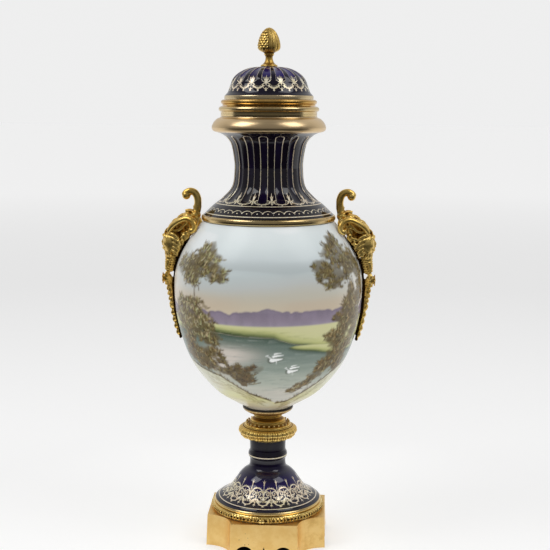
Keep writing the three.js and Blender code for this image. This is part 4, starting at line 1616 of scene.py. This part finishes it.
# a clump of leaves: strokes that fan up and out from its foot, dark ones first and light ones last
def clump(sheet, chance, angle, height, wide, tall, amount=1.0, tones=(0, 7), warm=0.3):
    pick = chance.uniform
    radius = float(np.interp(height, bellyLine[:, 1], bellyLine[:, 0]))
    perDegree = radius * full / 360
    area = math.pi * wide * perDegree * tall
    du, dv = ((sheetAngle - angle + 180) % 360 - 180) / wide, (sheetHeight - height) / tall
    ragged = np.hypot(du, dv) + 0.9 * (leafCloud - 0.5)
    sheet.wash(
        hue(62, 49, 26),
        0.88 * min(1, amount) * step(ragged, 0.98, 0.6) * np.clip(0.85 - 0.2 * dv, 0, 1),
    )
    sheet.wash(hue(120, 106, 72), 0.4 * min(1, amount) * step(ragged, 1.08, 0.85))
    # the leaves gather in tufts, each dark below and light above
    tufts = [(pick(0, full), math.sqrt(pick(0, 1)) * 0.84) for _ in range(max(4, int(area * amount / 30)))]
    for turn, reach in sorted(tufts, key=lambda tuft: -tuft[1] * math.sin(tuft[0])):
        across, up = reach * math.cos(turn), reach * math.sin(turn)
        size = pick(3.4, 5.6)
        for layer in range(3):
            for _ in range(int((7, 8, 5)[layer] * pick(0.7, 1.3))):
                fan = chance.gauss(0, 46)
                direction = 90 + fan - 26 * across
                out = pick(0.0, 0.55) * size * (0.8, 1, 1.15)[layer]
                x = angle + across * wide + out * math.cos(math.radians(direction)) / perDegree
                y = height + up * tall + out * math.sin(math.radians(direction)) - size * 0.3
                level = (0.05, 0.36, 0.8)[layer] + pick(-0.22, 0.22) + 0.12 * up
                shade = tones[0] + (tones[1] - tones[0]) * min(1, max(0, level))
                colour = leafTones[int(round(shade))]
                if chance.random() < warm:
                    colour = colour * np.array([1.12, 0.93, 0.86])
                elif chance.random() < 0.4:
                    colour = colour * np.array([0.88, 1.0, 0.84])
                sheet.stroke(
                    x, y, direction, pick(2.0, 4.6), pick(0.8, 1.4), colour, pick(0.6, 0.98),
                    pick(-0.4, 0.4),
                )
        if reach > 0.55:
            for _ in range(5):
                direction = (
                    math.degrees(math.atan2(up * tall + 3, across * wide * perDegree))
                    + chance.gauss(0, 24)
                )
                away = pick(0.95, 1.16) / max(reach, 0.3)
                sheet.stroke(
                    angle + across * wide * away, height + up * tall * away, direction,
                    pick(1.4, 3.2), pick(0.7, 1.1), leafTones[chance.randint(1, 4)], 0.8,
                )


trees = {
    "leftCrown": [
        (-46, 306, 15, 14), (-31, 301, 10, 9), (-58, 306, 12, 11), (-42, 321, 9, 8),
        (-50, 294, 10, 8), (-27, 296, 6, 5), (-38, 312, 12, 9),
    ],
    "leftLower": [
        (-48, 258, 15, 14), (-50, 242, 15, 12), (-36, 234, 9, 8), (-59, 267, 8, 7),
        (-36, 250, 7, 9), (-48, 270, 9, 5), (-64, 252, 8, 10),
    ],
    "leftBushes": [
        (-50, 205, 8, 6), (-60, 214, 8, 8), (-36, 219, 9, 8), (-46, 214, 12, 9), (-29, 211, 5, 4),
        (-56, 226, 9, 9), (-40, 205, 10, 6), (-28, 200, 6, 5),
    ],
    "shrub": [(-15, 201, 6, 8), (-21, 204, 4, 4), (-5, 205, 5, 5), (-11, 193, 5, 5)],
    "rightCrown": [
        (54, 317, 13, 14), (39, 307, 8, 8), (50, 298, 13, 9), (67, 311, 11, 13), (56, 331, 9, 6),
        (35, 297, 4, 4), (45, 289, 8, 5), (74, 300, 9, 12),
    ],
    "rightColumn": [
        (64, 268, 9, 12), (61, 281, 5, 9), (61, 262, 9, 16), (57, 246, 8, 12), (49, 256, 4, 6),
        (70, 250, 8, 22), (74, 278, 6, 14),
    ],
    "rightLower": [
        (25, 177, 4, 3), (33, 186, 6, 5), (41, 196, 7, 7), (47, 207, 8, 8), (52, 232, 9, 12),
        (44, 236, 4, 7), (52, 216, 9, 12), (45, 202, 6, 6), (61, 206, 9, 11), (37, 191, 5, 4),
        (29, 181, 4, 3), (64, 224, 8, 12),
    ],
    "far": [
        (150, 254, 12, 17), (138, 246, 8, 10), (-146, 253, 12, 16), (-158, 245, 8, 8),
        (172, 243, 7, 5), (118, 250, 10, 12), (-116, 248, 10, 11),
    ],
}


def greenery(sheet, chance):
    pick = chance.uniform
    dark, bark = hue(70, 54, 30), hue(96, 80, 58)
    for at, low, direction, length, wide in [
        (-45, 276, 92, 14, 1.5), (-46, 286, 118, 12, 1.1), (-44, 286, 66, 12, 1.1),
        (-41, 282, 100, 12, 0.9), (-44.5, 262, 91, 16, 1.6), (55, 246, 85, 22, 1.8),
        (57, 266, 84, 20, 1.5), (58.5, 284, 102, 14, 1.2), (59, 284, 76, 14, 1.1),
        (60, 280, 60, 12, 0.9),
    ]:
        sheet.stroke(at, low, direction, length, wide, bark, 0.9)
        sheet.stroke(at + 0.4, low, direction, length, wide * 0.5, dark, 0.8)
    for name, amount, tones, warm in [
        ("far", 0.8, (1, 6), 0.3), ("leftBushes", 1.0, (0, 6), 0.5),
        ("leftLower", 1.0, (0, 7), 0.18), ("leftCrown", 0.95, (0, 7), 0.12),
        ("rightColumn", 1.0, (0, 6), 0.4), ("rightLower", 0.95, (0, 6), 0.45),
        ("rightCrown", 0.95, (0, 6), 0.15),
    ]:
        for place in trees[name]:
            clump(sheet, chance, *place, amount=amount, tones=tones, warm=warm)
    # a shrub of separate sprays on the left bank
    for _ in range(70):
        direction = 90 + chance.gauss(0, 32)
        at, low, length = -17.5 + pick(-1, 4), 184 + pick(-1, 3), pick(10, 24)
        sheet.stroke(at, low, direction, length, 0.9, hue(96, 80, 52), 0.7, pick(-1, 1))
        radius = 76.0
        for t in np.arange(0.35, 1.05, 0.11):
            x = at + math.degrees(length * t * math.cos(math.radians(direction)) / radius)
            y = low + length * t * math.sin(math.radians(direction))
            sheet.stroke(
                x, y, direction + pick(-50, 50), pick(1.4, 3.0), 1.25,
                leafTones[chance.randint(0, 4)], 0.85,
            )
    for place in trees["shrub"]:
        clump(sheet, chance, *place, amount=0.45, tones=(0, 4), warm=0.55)
    # grasses along the banks
    lines = [
        ([-66, -53.5, -34.5, -23.5, -13.5, 0.5, 6.5], [202, 198, 193, 183, 174, 168, 165]),
        ([12, 23.5, 40, 59.5, 76], [161, 163, 176, 194, 203]),
    ]
    for keys, heights in lines:
        for at in np.arange(keys[0], keys[-1], 0.35):
            base = float(np.interp(at, keys, heights))
            near = 1 - 0.7 * abs(at) / 70
            sheet.stroke(
                at, base - 0.6, 90 + chance.gauss(0, 34), pick(1.6, 6.4) * (0.6 + 0.5 * (1 - near)),
                1.0, leafTones[chance.randint(0, 5)], pick(0.5, 0.9),
            )
            sheet.stroke(
                at, base - 0.8, -8 if at < 8 else 22, pick(1, 3), pick(0.7, 1.5), hue(92, 76, 42),
                pick(0.1, 0.6),
            )
    for _ in range(420):
        at = chance.choice([pick(-52, -2), pick(20, 58)])
        keys, heights = lines[0] if at < 8 else lines[1]
        base = float(np.interp(at, keys, heights)) - pick(2, 14)
        sheet.stroke(
            at, base, chance.gauss(-25 if at < 8 else 35, 12), pick(2, 6), 0.8, hue(132, 118, 72),
            pick(0.2, 0.6),
        )


# two plain white water birds, each a body, a raised wing, a neck and a tail
def birds(sheet):
    white, line = hue(250, 252, 250), hue(92, 100, 88)
    for at, high, size in [(9.4, 216.5, 1.3), (21.2, 203, 1.15)]:
        def touch(dx, dy, direction, length, width, colour, strength=0.95, bend=0.0):
            sheet.stroke(
                at + dx * 0.68 * size, high + dy * size, direction, length * size, width * size,
                colour, strength, bend * size, 0.45,
            )
        touch(-4.9, -1.3, 4, 9.6, 5.4, line, 0.75, 0.6)
        touch(-4.6, -2.9, 4, 9.4, 1.2, line, 0.7, 0.8)
        touch(-4.0, -1.4, 4, 8.0, 3.2, white, 0.95, 0.6)
        touch(-3.2, 0.7, 8, 8.4, 0.7, line, 0.6, -0.8)
        touch(-3.0, 1.7, 14, 7.6, 1.9, white, 0.95, -0.8)
        touch(-2.6, 3.1, 12, 6.2, 0.6, line, 0.6, -0.8)
        touch(-2.2, 3.9, 16, 5.0, 1.3, white, 0.9, -0.8)
        touch(-4.0, -0.6, 132, 4.4, 1.1, white, 0.95, 0.7)
        touch(-6.8, 2.8, 200, 1.8, 0.8, white, 0.95)
        touch(-0.6, -2.6, -80, 2.6, 0.9, white, 0.6)


sheet = Sheet()
chance = random.Random(17)
landscape(sheet, chance)
birds(sheet)
greenery(sheet, chance)
print("picture painted")


def makeBody(sizes, sheet):
    outside = sizes["base"] + evenly(smoothCurve(sizes["belly"], 10), sizes["rowStep"])[1:]
    profile = outside + evenly(sizes["inside"], 14)
    half = math.radians(sizes["frontHalf"])
    bm = lathe(profile, sizes["frontSteps"], False, -half, 2 * half, 3)
    back = lathe(profile, sizes["backSteps"], False, half, full - 2 * half, 3)
    addShape(bm, back)
    mesh = meshFrom(bm, "bodyMesh")
    radius, height, angle = around(spots(mesh))
    outer = (np.abs(radius - np.interp(height, bellyLine[:, 1], bellyLine[:, 0])) < 0.6) & (height > 146.2)
    u = (np.degrees(angle) + 180) / 360 * sheetColumns
    v = (height - sheetLow) / (sheetHigh - sheetLow) * (sheetRows - 1)
    a, b = np.floor(u).astype(int), np.clip(np.floor(v).astype(int), 0, sheetRows - 2)
    fu, fv = (u - a)[:, None], (v - b)[:, None]
    paint = between(sheet.paint, a, b, fu, fv)
    paint = np.where(outer[:, None], paint, hue(226, 224, 218))
    dark = height < 146.25
    paint = np.where(dark[:, None], hue(15, 11, 18), paint)
    tint(mesh, "paint", np.clip(paint, 0, 1))
    mark(mesh, "gilded", np.where(height < 144.3, 1.0, 0.0))
    return mesh


paintedGlaze, kit, sockets = newMaterial("paintedGlaze", {"IOR": 1.5, "Specular IOR Level": 0.28})
place = kit.objectPlace()
brush = kit.noise(place, 900.0, 2.0, 0.6)
gilded = kit.attribute("gilded")
crumbs = kit.noise(place, 700.0, 3.0, 0.7)
picture = kit.attribute("paint", "Color")
colour = kit.mixed(kit.spread(brush, 0.3, 0.7, (0, 0.05)), picture, (0.55, 0.52, 0.44))
gold = kit.mixed(kit.spread(crumbs, 0.35, 0.65), (0.36, 0.22, 0.07), (0.8, 0.6, 0.3))
gloss = kit.spread(kit.noise(place, 20.0, 2.0), 0.35, 0.65, (0.2, 0.26))
kit.feed(sockets, {
    "Base Color": kit.mixed(gilded, colour, gold),
    "Metallic": gilded,
    "Roughness": kit.blend(gilded, gloss, 0.35),
    "Normal": kit.bump(kit.blend(gilded, kit.noise(place, 60.0, 1.0), crumbs), 0.0002, 0.15),
})
setDown(makeBody(body, sheet), "paintedBody", ["body"], paintedGlaze, sharp=50)
print("body ready")
